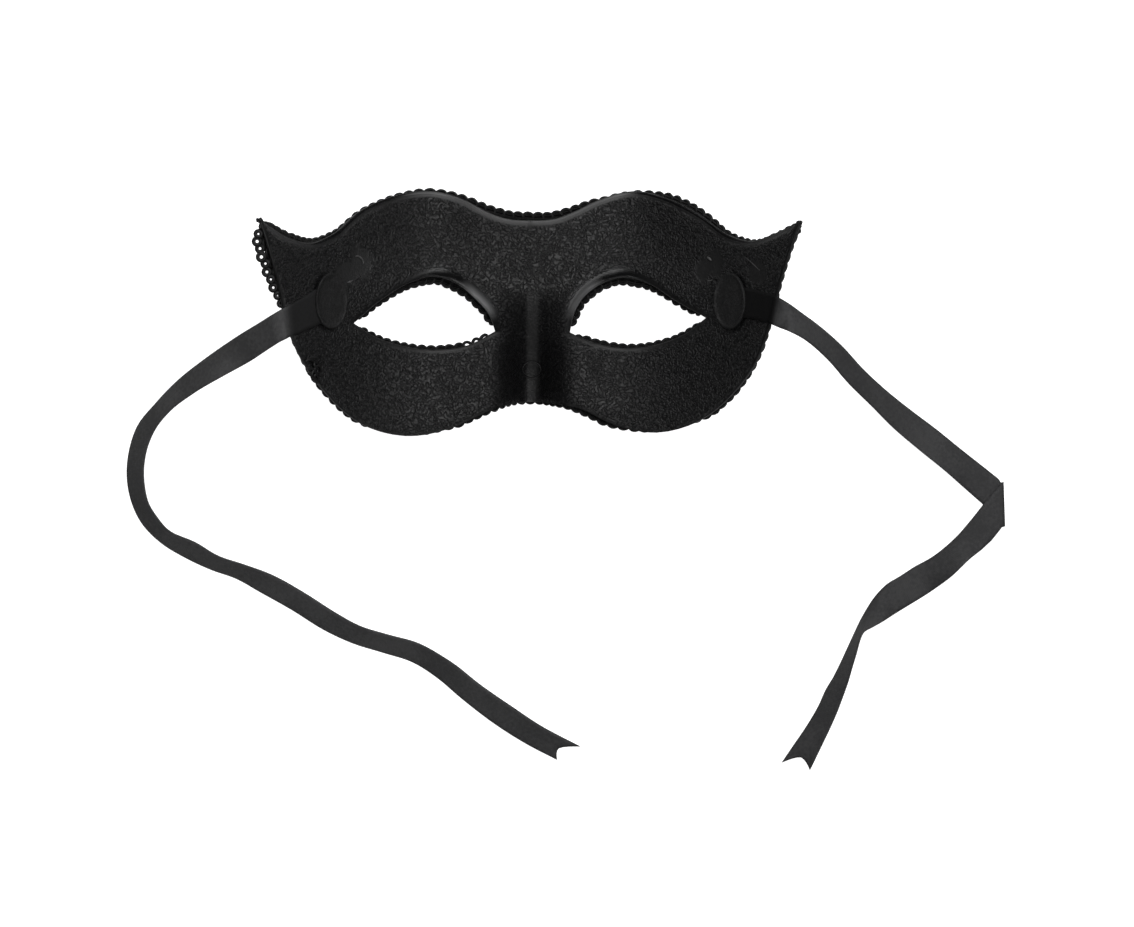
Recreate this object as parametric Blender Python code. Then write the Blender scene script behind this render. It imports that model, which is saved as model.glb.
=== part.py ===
"""A moulded half mask lying face-down, with glued braid, two patches and two tie ribbons.

X runs from wing to wing, Y towards the brows and Z up, away from the surface that it lies on.
All lengths below are in millimetres until a mesh is made.
"""
import math

import bmesh
import bpy
import numpy as np
from mathutils import Vector

MM = 0.001

# Shell
HALF_WIDTH = 88.5
HALF_HEIGHT = 41.0
WALL = 1.5
WRAP_DEPTH = 42.0
WRAP_START = 0.28
NOSE_DEPTH = 11.5
NOSE_STRIP = 5.4
NOSE_FLANK = 13.0
NOSE_CORNER = 1.2
NOSE_TOP_Y = 8.0
NOSE_FULL_Y = -27.0
BROW_BULGE = 4.0
BROW_X = 34.0
BROW_Y = 33.0
BROW_SPREAD = 16.0
SOCKET_RISE = 2.5
SOCKET_SPREAD_X = 24.0
SOCKET_SPREAD_Y = 13.0
EDGE_BEND = 0.5
EDGE_BEND_WIDTH = 3.0
TIP_FLAT = 8.0

# Eye holes
EYE_X = 0.399 * HALF_WIDTH
EYE_Y = -0.2
EYE_HALF_LENGTH = 23.0
EYE_HALF_HEIGHT = 11.9
EYE_BEND = 2.4
EYE_BEND_WIDTH = 6.0

# Braid
CLEARANCE = 0.4
BRAID_WIDTH = 7.0
BRAID_THICKNESS = 1.6
EDGE_PEEK = 3.3
EDGE_PITCH = 3.8
EDGE_NOTCH = 0.9
EYE_PEEK = 1.3
EYE_PITCH = 3.3
EYE_NOTCH = 0.7
REST_SQUASH = 0.8
FREE_SHARES = np.linspace(1.0, 0.04, 49)
OWN_EDGE_SHARE = 0.98
MIDLINE_SHARE = 0.9
LEAST_PEEK = 0.05

# Patches
PATCH_X = 0.755 * HALF_WIDTH
PATCH_Y = 0.09 * HALF_HEIGHT
PATCH_HALF_WIDTH = 5.1
PATCH_HALF_HEIGHT = 9.4
PATCH_THICKNESS = 1.2
PATCH_SIDES = 20
# Rings of a patch: share of its radius, share of its thickness
PATCH_RINGS = ((0.5, 1.0), (0.85, 0.95), (1.0, 0.5))

# Ribbons
RIBBON_WIDTH = 10.0
RIBBON_THICKNESS = 0.8
RIBBON_STEPS = 2
LOWEST = 0.05

# How the photograph maps onto the model, for the ribbons' routes
PHOTO_HALF_WIDTH = 265.5
PIXELS_PER_MM = PHOTO_HALF_WIDTH / HALF_WIDTH
PHOTO_X = 530.5
PHOTO_Y = 312.5
CAMERA_HEIGHT = 2500.0
SCALE_HEIGHT = 15.0

# Outer edge from the top centre down to the bottom centre.
# Columns: place, then for the left and the right side the share of the half width, the share of
# the half height and the share of EDGE_PEEK by which the braid shows past the edge.
OUTLINE = (
    ("top_centre", 0.000, 0.756, 0.70, 0.000, 0.756, 0.70),
    ("glabella", 0.085, 0.768, 0.90, 0.089, 0.768, 0.90),
    ("brow_rise", 0.164, 0.825, 0.75, 0.164, 0.825, 0.80),
    ("brow_inner", 0.243, 0.915, 0.20, 0.243, 0.907, 0.45),
    ("brow_crest", 0.371, 0.992, 0.15, 0.401, 0.992, 0.15),
    ("brow_outer", 0.495, 0.963, 0.15, 0.506, 0.939, 0.65),
    ("brow_fall", 0.645, 0.817, 0.15, 0.653, 0.768, 0.60),
    ("dip_inner", 0.744, 0.630, 0.45, 0.744, 0.626, 0.36),
    ("dip", 0.821, 0.565, 0.95, 0.821, 0.581, 0.40),
    ("tip_neck", 0.911, 0.618, 0.60, 0.911, 0.642, 0.40),
    ("tip", 1.000, 0.752, 0.15, 0.998, 0.736, 0.20),
    ("wing_edge", 0.973, 0.549, 1.25, 0.973, 0.565, 0.50),
    ("wing_low", 0.937, 0.264, 0.80, 0.930, 0.264, 0.35),
    ("temple", 0.899, -0.118, 0.35, 0.887, -0.110, 0.35),
    ("cheek_side", 0.845, -0.394, 0.15, 0.841, -0.386, 0.30),
    ("cheek_low", 0.757, -0.663, 0.42, 0.761, -0.638, 0.60),
    ("lobe_outer", 0.635, -0.898, 0.15, 0.646, -0.858, 0.45),
    ("lobe_bottom", 0.461, -1.004, 0.10, 0.469, -0.976, 0.10),
    ("lobe_inner", 0.296, -0.939, 0.12, 0.307, -0.907, 0.45),
    ("notch_side", 0.156, -0.800, 0.55, 0.183, -0.780, 0.80),
    ("notch", 0.070, -0.740, 0.48, 0.081, -0.740, 0.25),
    ("bottom_centre", 0.000, -0.728, 0.20, 0.000, -0.728, 0.20),
)
TIP_ROW = 10

# Eye holes, once round from the nose over the top.
# Columns: place, then for the left and the right eye the share of the half length outwards and
# the share of the half height, and last the share of EYE_BEND by which the rim bends forward.
EYE_OUTLINE = (
    ("inner_corner", -1.02, -0.50, -0.96, -0.53, 0.70),
    ("upper_inner", -0.90, 0.00, -0.88, 0.01, 1.00),
    ("inner_slope", -0.72, 0.38, -0.77, 0.38, 1.00),
    ("top_inner", -0.44, 0.81, -0.58, 0.70, 1.00),
    ("top", -0.11, 1.00, -0.21, 0.97, 0.80),
    ("top_outer", 0.22, 0.83, 0.14, 0.84, 0.50),
    ("upper_outer", 0.60, 0.38, 0.57, 0.32, 0.30),
    ("outer_corner", 1.00, -0.28, 0.98, -0.13, 0.25),
    ("lower_outer", 0.68, -0.67, 0.72, -0.53, 0.25),
    ("lower", 0.31, -0.91, 0.33, -0.85, 0.30),
    ("bottom", -0.10, -1.01, -0.09, -0.97, 0.35),
    ("lower_inner", -0.59, -0.90, -0.56, -0.84, 0.50),
)
EYE_CORNER_ROWS = (0, 7)

# How the spokes of the shell's net run from an eye hole to the edge of its half.
# Columns: row of OUTLINE, row of EYE_OUTLINE, spokes up to the next line.
# Past the last row of OUTLINE they run up the centre line, one unit of the row for its length.
SPOKES = (
    (0, 1.6, 10),
    (4, 4.2, 10),
    (8, 5.6, 5),
    (10, 6.5, 8),
    (13, 7.0, 12),
    (17, 9.8, 6),
    (19.4, 10.8, 6),
    (21, 11.3, 1),
    (21.06, 11.4, 5),
    (21.5, 12.0, 5),
    (21.94, 13.4, 1),
    (22, 13.6, 0),
)
# Rings of the net: millimetres from the eye hole, then shares of the stretch that is left
RIM_RINGS = (0.0, 3.0, 6.5)
MIDDLE_RINGS = (0.33, 0.67)
EDGE_RING = 3.5

# Routes of the ribbons as chosen points, from the patch to the free end.
# Columns: pixel x and y of one edge, pixel x and y of the other, height of each edge.
# A height of None lies on the shell where both are None, and otherwise follows from the width.
LEFT_ROUTE = (
    (311, 292.5, 317, 325.5, None, None),
    (302, 298.0, 306, 330.0, None, None),
    (293, 303.0, 296, 334.5, None, None),
    (287, 306.5, 291, 336.0, None, None),
    (281, 309.5, 286, 339.0, 45.0, 44.5),
    (274, 313.5, 280, 342.0, 45.3, 44.3),
    (262, 321.0, 272, 347.0, 42.5, 41.5),
    (236, 337.0, 250, 361.5, 34.5, 33.0),
    (206, 358.0, 221, 377.5, 25.0, None),
    (177, 381.0, 194, 393.5, 15.5, None),
    (155, 404.0, 171, 411.0, 8.0, None),
    (137, 427.0, 155, 431.5, 3.0, None),
    (129, 452.0, 147, 453.5, 1.0, None),
    (127, 476.0, 145, 476.0, 0.5, None),
    (131, 500.0, 149, 500.5, 0.5, None),
    (141, 522.0, 159, 517.5, 0.5, None),
    (160, 542.0, 172, 531.0, 0.5, None),
    (185, 557.5, 196, 541.5, 0.5, None),
    (212, 570.0, 220, 555.5, 0.5, None),
    (236, 578.5, 244, 563.5, 0.5, None),
    (260, 592.0, 271, 573.5, 0.5, None),
    (292, 610.0, 303, 591.0, 0.5, None),
    (324, 630.0, 336, 612.0, 0.5, None),
    (352, 643.0, 360, 625.0, 0.5, None),
    (384, 653.0, 389, 634.0, 0.5, None),
    (412, 662.0, 420, 643.0, 0.5, None),
    (436, 677.0, 451, 661.0, 0.5, None),
    (462, 699.0, 479, 683.0, 0.5, None),
    (496, 725.0, 512, 706.0, 0.5, None),
    (528, 745.0, 544, 727.0, 0.5, None),
    (557, 760.0, 580, 746.0, 0.5, None),
)
RIGHT_ROUTE = (
    (748, 288.0, 748, 318.5, None, None),
    (757, 290.0, 757, 320.0, None, None),
    (767, 292.5, 763, 321.5, None, None),
    (774, 294.5, 768, 322.5, None, None),
    (779, 297.5, 773, 325.0, 45.0, 44.5),
    (786, 301.5, 780, 328.0, 45.3, 44.5),
    (799, 311.0, 788, 331.0, 42.5, None),
    (820, 326.5, 806, 341.0, 35.0, None),
    (842, 346.0, 827, 359.5, 26.0, None),
    (864, 370.0, 848, 383.5, 16.5, None),
    (888, 392.0, 872, 407.0, 9.0, None),
    (910, 409.5, 893, 428.0, 4.0, None),
    (936, 429.0, 919, 450.0, 1.5, None),
    (962, 450.0, 945, 471.0, 0.5, None),
    (984, 467.0, 966, 489.5, 0.5, 0.5),
    (999, 479.0, 982, 503.5, 0.5, 0.5),
    (1001, 482.5, 1002, 524.5, 0.5, 0.5),
    (1003.5, 482.0, 1005, 526.5, 1.1, 1.1),
    (1001, 485.0, 1002, 527.5, 1.7, 1.7),
    (983, 505.0, 1000, 530.5, 1.7, 1.7),
    (972, 519.0, 992, 540.5, 1.7, 1.7),
    (961, 532.0, 983, 549.0, 1.4, 1.4),
    (948, 545.0, 969, 558.5, 0.5, None),
    (931, 558.0, 950, 577.0, 0.5, None),
    (916, 566.0, 933, 591.5, 0.5, None),
    (900.5, 576.0, 914, 603.5, 0.5, None),
    (886, 585.0, 898, 613.0, 0.5, None),
    (875, 597.0, 884, 620.0, 0.5, None),
    (866, 611.0, 872, 626.0, 0.5, None),
    (859, 624.0, 863, 631.0, 0.5, None),
    (853, 637.0, 859, 639.0, 0.5, None),
    (847, 650.0, 855.5, 652.0, 0.5, None),
    (841, 663.0, 851.5, 665.5, 0.5, None),
    (834, 677.0, 847, 681.5, 0.5, None),
    (826, 690.5, 842, 696.0, 0.5, None),
    (819, 706.0, 836, 712.0, 0.5, None),
    (811, 720.0, 829.5, 727.0, 0.5, None),
    (803, 732.5, 823, 741.0, 0.5, None),
    (795, 744.0, 817, 754.0, 0.5, None),
    (782, 763.0, 810, 770.0, 0.5, None),
)
# Rows round the flat fold, between which the right ribbon runs straight
FOLD_ROWS = range(14, 21)

# Finishes: linear red, green and blue, then roughness
SHELL_FINISH = (0.008, 0.008, 0.009, 0.45)
BRAID_FINISH = (0.004, 0.004, 0.004, 0.60)
PATCH_FINISH = (0.010, 0.010, 0.011, 0.60)
RIBBON_FINISH = (0.030, 0.030, 0.032, 0.40)

# How finely the outlines are read
SAMPLES_PER_ROW = 14
ROW_STEP = 0.04
SHARP_ANGLE = 40.0
NORMAL_STEP = 0.4


def clear_scene():
    for item in list(bpy.data.objects):
        bpy.data.objects.remove(item, do_unlink=True)


def smoothstep(start, end, value):
    share = np.clip((value - start) / (end - start), 0.0, 1.0)
    return share * share * (3.0 - 2.0 * share)


class SmoothPath:
    """A curve through rows of numbers, read at a row number that may lie between two rows."""

    def __init__(self, rows, corners, closed=True):
        self.rows = np.array(rows, dtype=float)
        self.corners = set(corners)
        self.closed = closed
        self.count = len(self.rows)

    def row(self, index):
        if self.closed:
            return self.rows[index % self.count]
        return self.rows[min(max(index, 0), self.count - 1)]

    def spacing(self, index):
        """Length from one row to the next, by their first two columns."""
        return max(np.hypot(*(self.row(index + 1) - self.row(index))[:2]), 1e-6)

    def slope(self, index, side):
        """Change per millimetre at a row; side is +1 for the stretch after it, -1 before it."""
        before, after = self.spacing(index - 1), self.spacing(index)
        place = index % self.count if self.closed else index
        ends = not self.closed and place in (0, self.count - 1)
        if place in self.corners or ends:
            first = index if side > 0 else index - 1
            return (self.row(first + 1) - self.row(first)) / self.spacing(first)
        backward = (self.row(index) - self.row(index - 1)) / before
        forward = (self.row(index + 1) - self.row(index)) / after
        return (backward * after + forward * before) / (before + after)

    def at(self, position):
        first = int(math.floor(position + 1e-9))
        if not self.closed:
            first = min(first, self.count - 2)
        share = position - first
        length = self.spacing(first)
        start, end = self.row(first), self.row(first + 1)
        leave = self.slope(first, 1) * length
        arrive = self.slope(first + 1, -1) * length
        square, cube = share * share, share * share * share
        return (
            (2 * cube - 3 * square + 1) * start
            + (cube - 2 * square + share) * leave
            + (3 * square - 2 * cube) * end
            + (cube - square) * arrive
        )

    def samples(self):
        """Points along the whole closed curve, with the same number in each stretch."""
        count = self.count * SAMPLES_PER_ROW
        return np.array([self.at(index / SAMPLES_PER_ROW) for index in range(count)])


def outer_path():
    """The outer edge of the whole mask: down its right side and up its left side."""
    right = [
        (row[4] * HALF_WIDTH, row[5] * HALF_HEIGHT, row[6] * EDGE_PEEK) for row in OUTLINE
    ]
    left = [
        (-row[1] * HALF_WIDTH, row[2] * HALF_HEIGHT, row[3] * EDGE_PEEK) for row in OUTLINE
    ]
    rows = right + left[-2:0:-1]
    return SmoothPath(rows, (TIP_ROW, len(rows) - TIP_ROW))


def eye_path(side):
    """The edge of one eye hole, from its inner corner over its top; side is -1 or +1."""
    column = 1 if side < 0 else 3
    rows = [
        (
            side * (EYE_X + row[column] * EYE_HALF_LENGTH),
            EYE_Y + row[column + 1] * EYE_HALF_HEIGHT,
            row[5] * EYE_BEND,
        )
        for row in EYE_OUTLINE
    ]
    return SmoothPath(rows, EYE_CORNER_ROWS)


class Form:
    """The inner face of the shell as a height over the plane, with its bent rims."""

    def __init__(self):
        self.outer = outer_path()
        self.eyes = {side: eye_path(side) for side in (-1, 1)}
        self.outer_samples = self.outer.samples()
        self.eye_samples = np.vstack([self.eyes[side].samples() for side in (-1, 1)])
        self.tips = np.array([self.outer.row(row)[:2] for row in (TIP_ROW, -TIP_ROW)])
        self.lean = 0.0
        self.lift = 0.0

    def bend(self, x, y):
        """How far the rims draw the face forward at a place."""
        to_eye = np.hypot(self.eye_samples[:, 0] - x, self.eye_samples[:, 1] - y)
        nearest = int(to_eye.argmin())
        eye_share = 1.0 - min(to_eye[nearest] / EYE_BEND_WIDTH, 1.0)
        to_edge = np.hypot(self.outer_samples[:, 0] - x, self.outer_samples[:, 1] - y).min()
        edge_share = 1.0 - min(to_edge / EDGE_BEND_WIDTH, 1.0)
        to_tip = np.hypot(self.tips[:, 0] - x, self.tips[:, 1] - y).min()
        edge_bend = EDGE_BEND * smoothstep(0.0, TIP_FLAT, to_tip)
        return self.eye_samples[nearest, 2] * eye_share**2 + edge_bend * edge_share**2

    def height(self, x, y):
        side = abs(x)
        wrap = max(0.0, (side / HALF_WIDTH - WRAP_START) / (1.0 - WRAP_START))
        past_strip = side - NOSE_STRIP / 2
        flank = (past_strip + math.hypot(past_strip, NOSE_CORNER)) / 2 / NOSE_FLANK
        ridge = smoothstep(NOSE_TOP_Y, NOSE_FULL_Y, y) * (1.0 - min(flank, 1.0)) ** 2
        brow = math.exp(-(((side - BROW_X) / BROW_SPREAD) ** 2) - ((y - BROW_Y) / BROW_SPREAD) ** 2)
        across = (side - EYE_X) / SOCKET_SPREAD_X
        along = (y - EYE_Y) / SOCKET_SPREAD_Y
        socket = math.exp(-(across**2) - along**2)
        return (
            self.lift
            + WRAP_DEPTH * wrap**2
            + self.lean * (HALF_HEIGHT - y)
            - NOSE_DEPTH * ridge
            - BROW_BULGE * brow
            + SOCKET_RISE * socket
            - self.bend(x, y)
        )

    def point(self, x, y):
        return np.array((x, y, self.height(x, y)))

    def normal(self, x, y):
        """The direction away from the face on the wearer's side."""
        step = NORMAL_STEP
        slope_x = (self.height(x + step, y) - self.height(x - step, y)) / (2 * step)
        slope_y = (self.height(x, y + step) - self.height(x, y - step)) / (2 * step)
        normal = np.array((-slope_x, -slope_y, 1.0))
        return normal / np.linalg.norm(normal)

    def offset(self, x, y, distance):
        """A point at a distance from the inner face, positive on the wearer's side."""
        return self.point(x, y) + self.normal(x, y) * distance

    def stand_on_surface(self):
        """Lean and lift the mask until nose and brows press the braid on the surface."""
        for _ in range(3):
            corners = np.array([section[-1] for section in edge_braid_sections(self)])
            brow = corners[corners[:, 1] > 0]
            nose = corners[corners[:, 1] < 0]
            low_brow = brow[brow[:, 2].argmin()]
            low_nose = nose[nose[:, 2].argmin()]
            self.lean -= (low_nose[2] - low_brow[2]) / (low_brow[1] - low_nose[1])
        corners = np.vstack(edge_braid_sections(self))
        self.lift -= corners[:, 2].min() + REST_SQUASH


def object_from_mesh(name, mesh, finish):
    material = bpy.data.materials.new(name + "_finish")
    material.use_nodes = True
    shader = material.node_tree.nodes["Principled BSDF"]
    shader.inputs["Base Color"].default_value = (*finish[:3], 1.0)
    shader.inputs["Roughness"].default_value = finish[3]
    shader.inputs["Metallic"].default_value = 0.0
    mesh.materials.append(material)
    item = bpy.data.objects.new(name, mesh)
    bpy.context.scene.collection.objects.link(item)
    return item


def mesh_from_lists(name, points, faces, closed):
    """A mesh in metres from points in millimetres, its faces turned out if it is closed."""
    net = bmesh.new()
    corners = [net.verts.new(Vector(point) * MM) for point in points]
    for face in faces:
        net.faces.new([corners[index] for index in face])
    bmesh.ops.remove_doubles(net, verts=net.verts, dist=0.002 * MM)
    if closed:
        bmesh.ops.recalc_face_normals(net, faces=net.faces)
    mesh = bpy.data.meshes.new(name)
    net.to_mesh(mesh)
    net.free()
    mesh.shade_smooth()
    mesh.set_sharp_from_angle(angle=math.radians(SHARP_ANGLE))
    return mesh


def thicken(item, thickness, offset):
    solidify = item.modifiers.new("wall", "SOLIDIFY")
    solidify.thickness = thickness * MM
    solidify.offset = offset
    solidify.use_even_offset = False


def outer_row(row, side):
    """The plan position on the edge of one half at a row of OUTLINE or up its centre line."""
    last = len(OUTLINE) - 1
    if row <= last:
        whole = len(OUTLINE) * 2 - 2
        return FORM.outer.at(row if side > 0 else (whole - row) % whole)[:2]
    top, bottom = FORM.outer.at(0)[:2], FORM.outer.at(last)[:2]
    return bottom + (top - bottom) * (row - last)


def ring_shares(eye, edge, on_centre_line):
    """Where the rings cross one spoke, as shares of its length."""
    length = np.linalg.norm(edge - eye)
    rim = [distance / length for distance in RIM_RINGS]
    if on_centre_line:
        last = 1.0 - (NOSE_STRIP / 2) / max(abs(edge[0] - eye[0]), NOSE_STRIP)
    else:
        last = 1.0 - EDGE_RING / length
    middle = [rim[-1] + (last - rim[-1]) * share for share in MIDDLE_RINGS]
    return [*rim, *middle, last, 1.0]


def spoke_rows():
    """Pairs of rows, on the edge of a half and on its eye hole, one for each spoke."""
    pairs = []
    for (edge_row, eye_row, count), (next_edge, next_eye, _) in zip(SPOKES, SPOKES[1:]):
        for index in range(count):
            share = index / count
            pairs.append(
                (edge_row + (next_edge - edge_row) * share, eye_row + (next_eye - eye_row) * share)
            )
    return pairs


def half_net(side):
    """Points and faces of the inner face on one side of the nose."""
    points, faces = [], []
    pairs = spoke_rows()
    for edge_row, eye_row in pairs:
        edge = outer_row(edge_row, side)
        eye = FORM.eyes[side].at(eye_row % len(EYE_OUTLINE))[:2]
        shares = ring_shares(eye, edge, edge_row > len(OUTLINE) - 1)
        points.extend(FORM.point(*(eye + (edge - eye) * share)) for share in shares)
    rings = len(points) // len(pairs)
    for spoke in range(len(pairs)):
        here, after = spoke * rings, (spoke + 1) % len(pairs) * rings
        for ring in range(rings - 1):
            face = (here + ring, here + ring + 1, after + ring + 1, after + ring)
            faces.append(face[::-1] if side > 0 else face)
    return points, faces


def make_shell():
    points, faces = half_net(-1)
    more_points, more_faces = half_net(1)
    faces += [tuple(index + len(points) for index in face) for face in more_faces]
    mesh = mesh_from_lists("mask_shell", points + more_points, faces, closed=False)
    shell = object_from_mesh("mask_shell", mesh, SHELL_FINISH)
    thicken(shell, WALL, -1.0)


def free_width(samples, place, direction, width):
    """The part of a width that stays short of the midline to another stretch of the edge."""
    for share in FREE_SHARES:
        length = width * share / MIDLINE_SHARE
        end = place + direction * length
        nearest = np.hypot(samples[:, 0] - end[0], samples[:, 1] - end[1]).min()
        if nearest > OWN_EDGE_SHARE * length:
            break
    return width * share


def loop_rows(path, samples, pitch):
    """Rows of a closed path for each loop's top and notch, with a top on each of its corners."""
    steps = np.linalg.norm(np.roll(samples, -1, axis=0)[:, :2] - samples[:, :2], axis=1)
    lengths = np.concatenate(([0.0], np.cumsum(np.tile(steps, 2))))
    rows_at = np.arange(len(lengths)) / SAMPLES_PER_ROW
    stops = sorted(path.corners)
    stops.append(stops[0] + path.count)
    rows = []
    for stop, next_stop in zip(stops, stops[1:]):
        start, end = lengths[stop * SAMPLES_PER_ROW], lengths[next_stop * SAMPLES_PER_ROW]
        count = 2 * round((end - start) / pitch)
        rows.extend(np.interp(np.linspace(start, end, count, endpoint=False), lengths, rows_at))
    return rows


def braid_sections(form, path, pitch, notch, inward, peek):
    """Cross-sections of a braid on the front face, from loop to loop along an edge.

    Each holds its outer corner, middle and inner corner next to the shell, then the inner and
    outer corners of its face. inward is +1 where the shell lies right of the path, or -1.
    """
    samples = path.samples()
    sections = []
    for index, row in enumerate(loop_rows(path, samples, pitch)):
        place = path.at(row)
        ahead = path.at(row + ROW_STEP)
        behind = path.at(row - ROW_STEP)
        along = (ahead - behind)[:2]
        along /= np.linalg.norm(along)
        across = np.array((along[1], -along[0])) * inward
        x, y = place[:2]
        rise = form.height(*(place[:2] + across)) - form.height(x, y)
        width = free_width(samples, place[:2], across, BRAID_WIDTH / math.hypot(1.0, rise))
        reach = place[2] if peek is None else peek
        reach = max(reach - (notch if index % 2 else 0.0), LEAST_PEEK)
        reach = free_width(samples, place[:2], -across, reach)
        middle, inner = place[:2] + across * width / 2, place[:2] + across * width
        near, far = WALL + CLEARANCE, WALL + CLEARANCE + BRAID_THICKNESS
        edge_point = form.offset(x, y, -near)
        middle_point = form.offset(*middle, -near)
        outward = edge_point - middle_point
        outward /= np.linalg.norm(outward)
        section = [
            edge_point + outward * reach,
            middle_point,
            form.offset(*inner, -near),
            form.offset(*inner, -far),
            form.offset(x, y, -far) + outward * reach,
        ]
        sections.append(np.array(section))
    return sections


def edge_braid_sections(form):
    return braid_sections(form, form.outer, EDGE_PITCH, EDGE_NOTCH, 1, None)


def eye_braid_sections(form, side):
    return braid_sections(form, form.eyes[side], EYE_PITCH, EYE_NOTCH, side * -1, EYE_PEEK)


def make_braid(name, sections):
    points = np.vstack(sections)
    points[:, 2] = np.maximum(points[:, 2], 0.0)
    corners = len(sections[0])
    faces = []
    for index in range(len(sections)):
        here, after = index * corners, (index + 1) % len(sections) * corners
        for corner in range(corners):
            other = (corner + 1) % corners
            faces.append((here + corner, here + other, after + other, after + corner))
    mesh = mesh_from_lists(name, points, faces, closed=True)
    object_from_mesh(name, mesh, BRAID_FINISH)


def make_patch(name, side):
    """An oval pad that follows the inner face, thinning to its rim."""
    points = [FORM.offset(side * PATCH_X, PATCH_Y, CLEARANCE)]
    points.append(FORM.offset(side * PATCH_X, PATCH_Y, CLEARANCE + PATCH_THICKNESS))
    for share, height in PATCH_RINGS:
        for index in range(PATCH_SIDES):
            turn = math.tau * index / PATCH_SIDES
            x = side * PATCH_X + PATCH_HALF_WIDTH * share * math.cos(turn)
            y = PATCH_Y + PATCH_HALF_HEIGHT * share * math.sin(turn)
            points.append(FORM.offset(x, y, CLEARANCE))
            points.append(FORM.offset(x, y, CLEARANCE + PATCH_THICKNESS * height))
    faces = []
    for index in range(PATCH_SIDES):
        after = (index + 1) % PATCH_SIDES
        for layer in (0, 1):
            faces.append((layer, 2 + 2 * index + layer, 2 + 2 * after + layer))
            for ring in range(len(PATCH_RINGS) - 1):
                low, high = 2 + 2 * PATCH_SIDES * ring, 2 + 2 * PATCH_SIDES * (ring + 1)
                faces.append(
                    (
                        low + 2 * index + layer,
                        high + 2 * index + layer,
                        high + 2 * after + layer,
                        low + 2 * after + layer,
                    )
                )
        rim = 2 + 2 * PATCH_SIDES * (len(PATCH_RINGS) - 1)
        faces.append(
            (rim + 2 * index, rim + 2 * after, rim + 2 * after + 1, rim + 2 * index + 1)
        )
    mesh = mesh_from_lists(name, points, faces, closed=True)
    object_from_mesh(name, mesh, PATCH_FINISH)


def from_photo(x, y, height):
    """The plan position seen at a pixel, for something at a height over the surface."""
    scale = (CAMERA_HEIGHT - height) / (CAMERA_HEIGHT - SCALE_HEIGHT) / PIXELS_PER_MM
    return np.array(((x - PHOTO_X) * scale, (PHOTO_Y - y) * scale))


def on_shell(x, y):
    """A point of a ribbon's middle surface that lies on the shell and shows at a pixel."""
    above = CLEARANCE + RIBBON_THICKNESS / 2
    shown = FORM.point(0.0, 0.0)
    place = shown[:2]
    for _ in range(6):
        place = place + from_photo(x, y, shown[2]) - shown[:2]
        shown = FORM.offset(*place, above)
    return shown


def ribbon_edges(route):
    """Both edges of a ribbon's middle surface, one pair for each chosen row."""
    pairs = []
    for x, y, other_x, other_y, height, other_height in route:
        if height is None:
            pairs.append((on_shell(x, y), on_shell(other_x, other_y)))
            continue
        edge = np.array((*from_photo(x, y, height), height))
        if other_height is None:
            other = from_photo(other_x, other_y, height)
            span = other - edge[:2]
            length = min(np.linalg.norm(span), RIBBON_WIDTH)
            other = edge[:2] + span / np.linalg.norm(span) * length
            other_height = height + math.sqrt(RIBBON_WIDTH**2 - length**2)
        else:
            other = from_photo(other_x, other_y, other_height)
        pairs.append((edge, np.array((*other, other_height))))
    return pairs


def make_ribbon(name, route, straight_rows):
    pairs = ribbon_edges(route)
    paths = [SmoothPath([pair[edge] for pair in pairs], (), closed=False) for edge in (0, 1)]
    positions = []
    for row in range(len(pairs) - 1):
        steps = 1 if row in straight_rows else RIBBON_STEPS
        positions += [row + step / steps for step in range(steps)]
    positions.append(len(pairs) - 1)
    points = []
    for position in positions:
        for edge in (0, 1):
            point = paths[edge].at(position) if position % 1 else pairs[int(position)][edge]
            points.append((*point[:2], max(point[2], RIBBON_THICKNESS / 2 + LOWEST)))
    faces = [
        (2 * index, 2 * index + 1, 2 * index + 3, 2 * index + 2)
        for index in range(len(positions) - 1)
    ]
    mesh = mesh_from_lists(name, points, faces, closed=False)
    ribbon = object_from_mesh(name, mesh, RIBBON_FINISH)
    thicken(ribbon, RIBBON_THICKNESS, 0.0)


clear_scene()
FORM = Form()
FORM.stand_on_surface()
make_shell()
make_braid("edge_braid", edge_braid_sections(FORM))
for side_name, side_sign in (("left", -1), ("right", 1)):
    make_braid("eye_braid_" + side_name, eye_braid_sections(FORM, side_sign))
    make_patch("patch_" + side_name, side_sign)
make_ribbon("ribbon_left", LEFT_ROUTE, ())
make_ribbon("ribbon_right", RIGHT_ROUTE, FOLD_ROWS)
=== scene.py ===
"""A black half mask lying face-down, its scroll braid, oval patches and satin tie ribbons.

X runs from wing to wing, Y towards the brows and Z up. Points are in metres. Lengths among the
values below are in millimetres, unless their heading says otherwise.
"""

import copy
import math

import bmesh
import bpy
import numpy as np
from mathutils import Matrix, Vector


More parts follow.
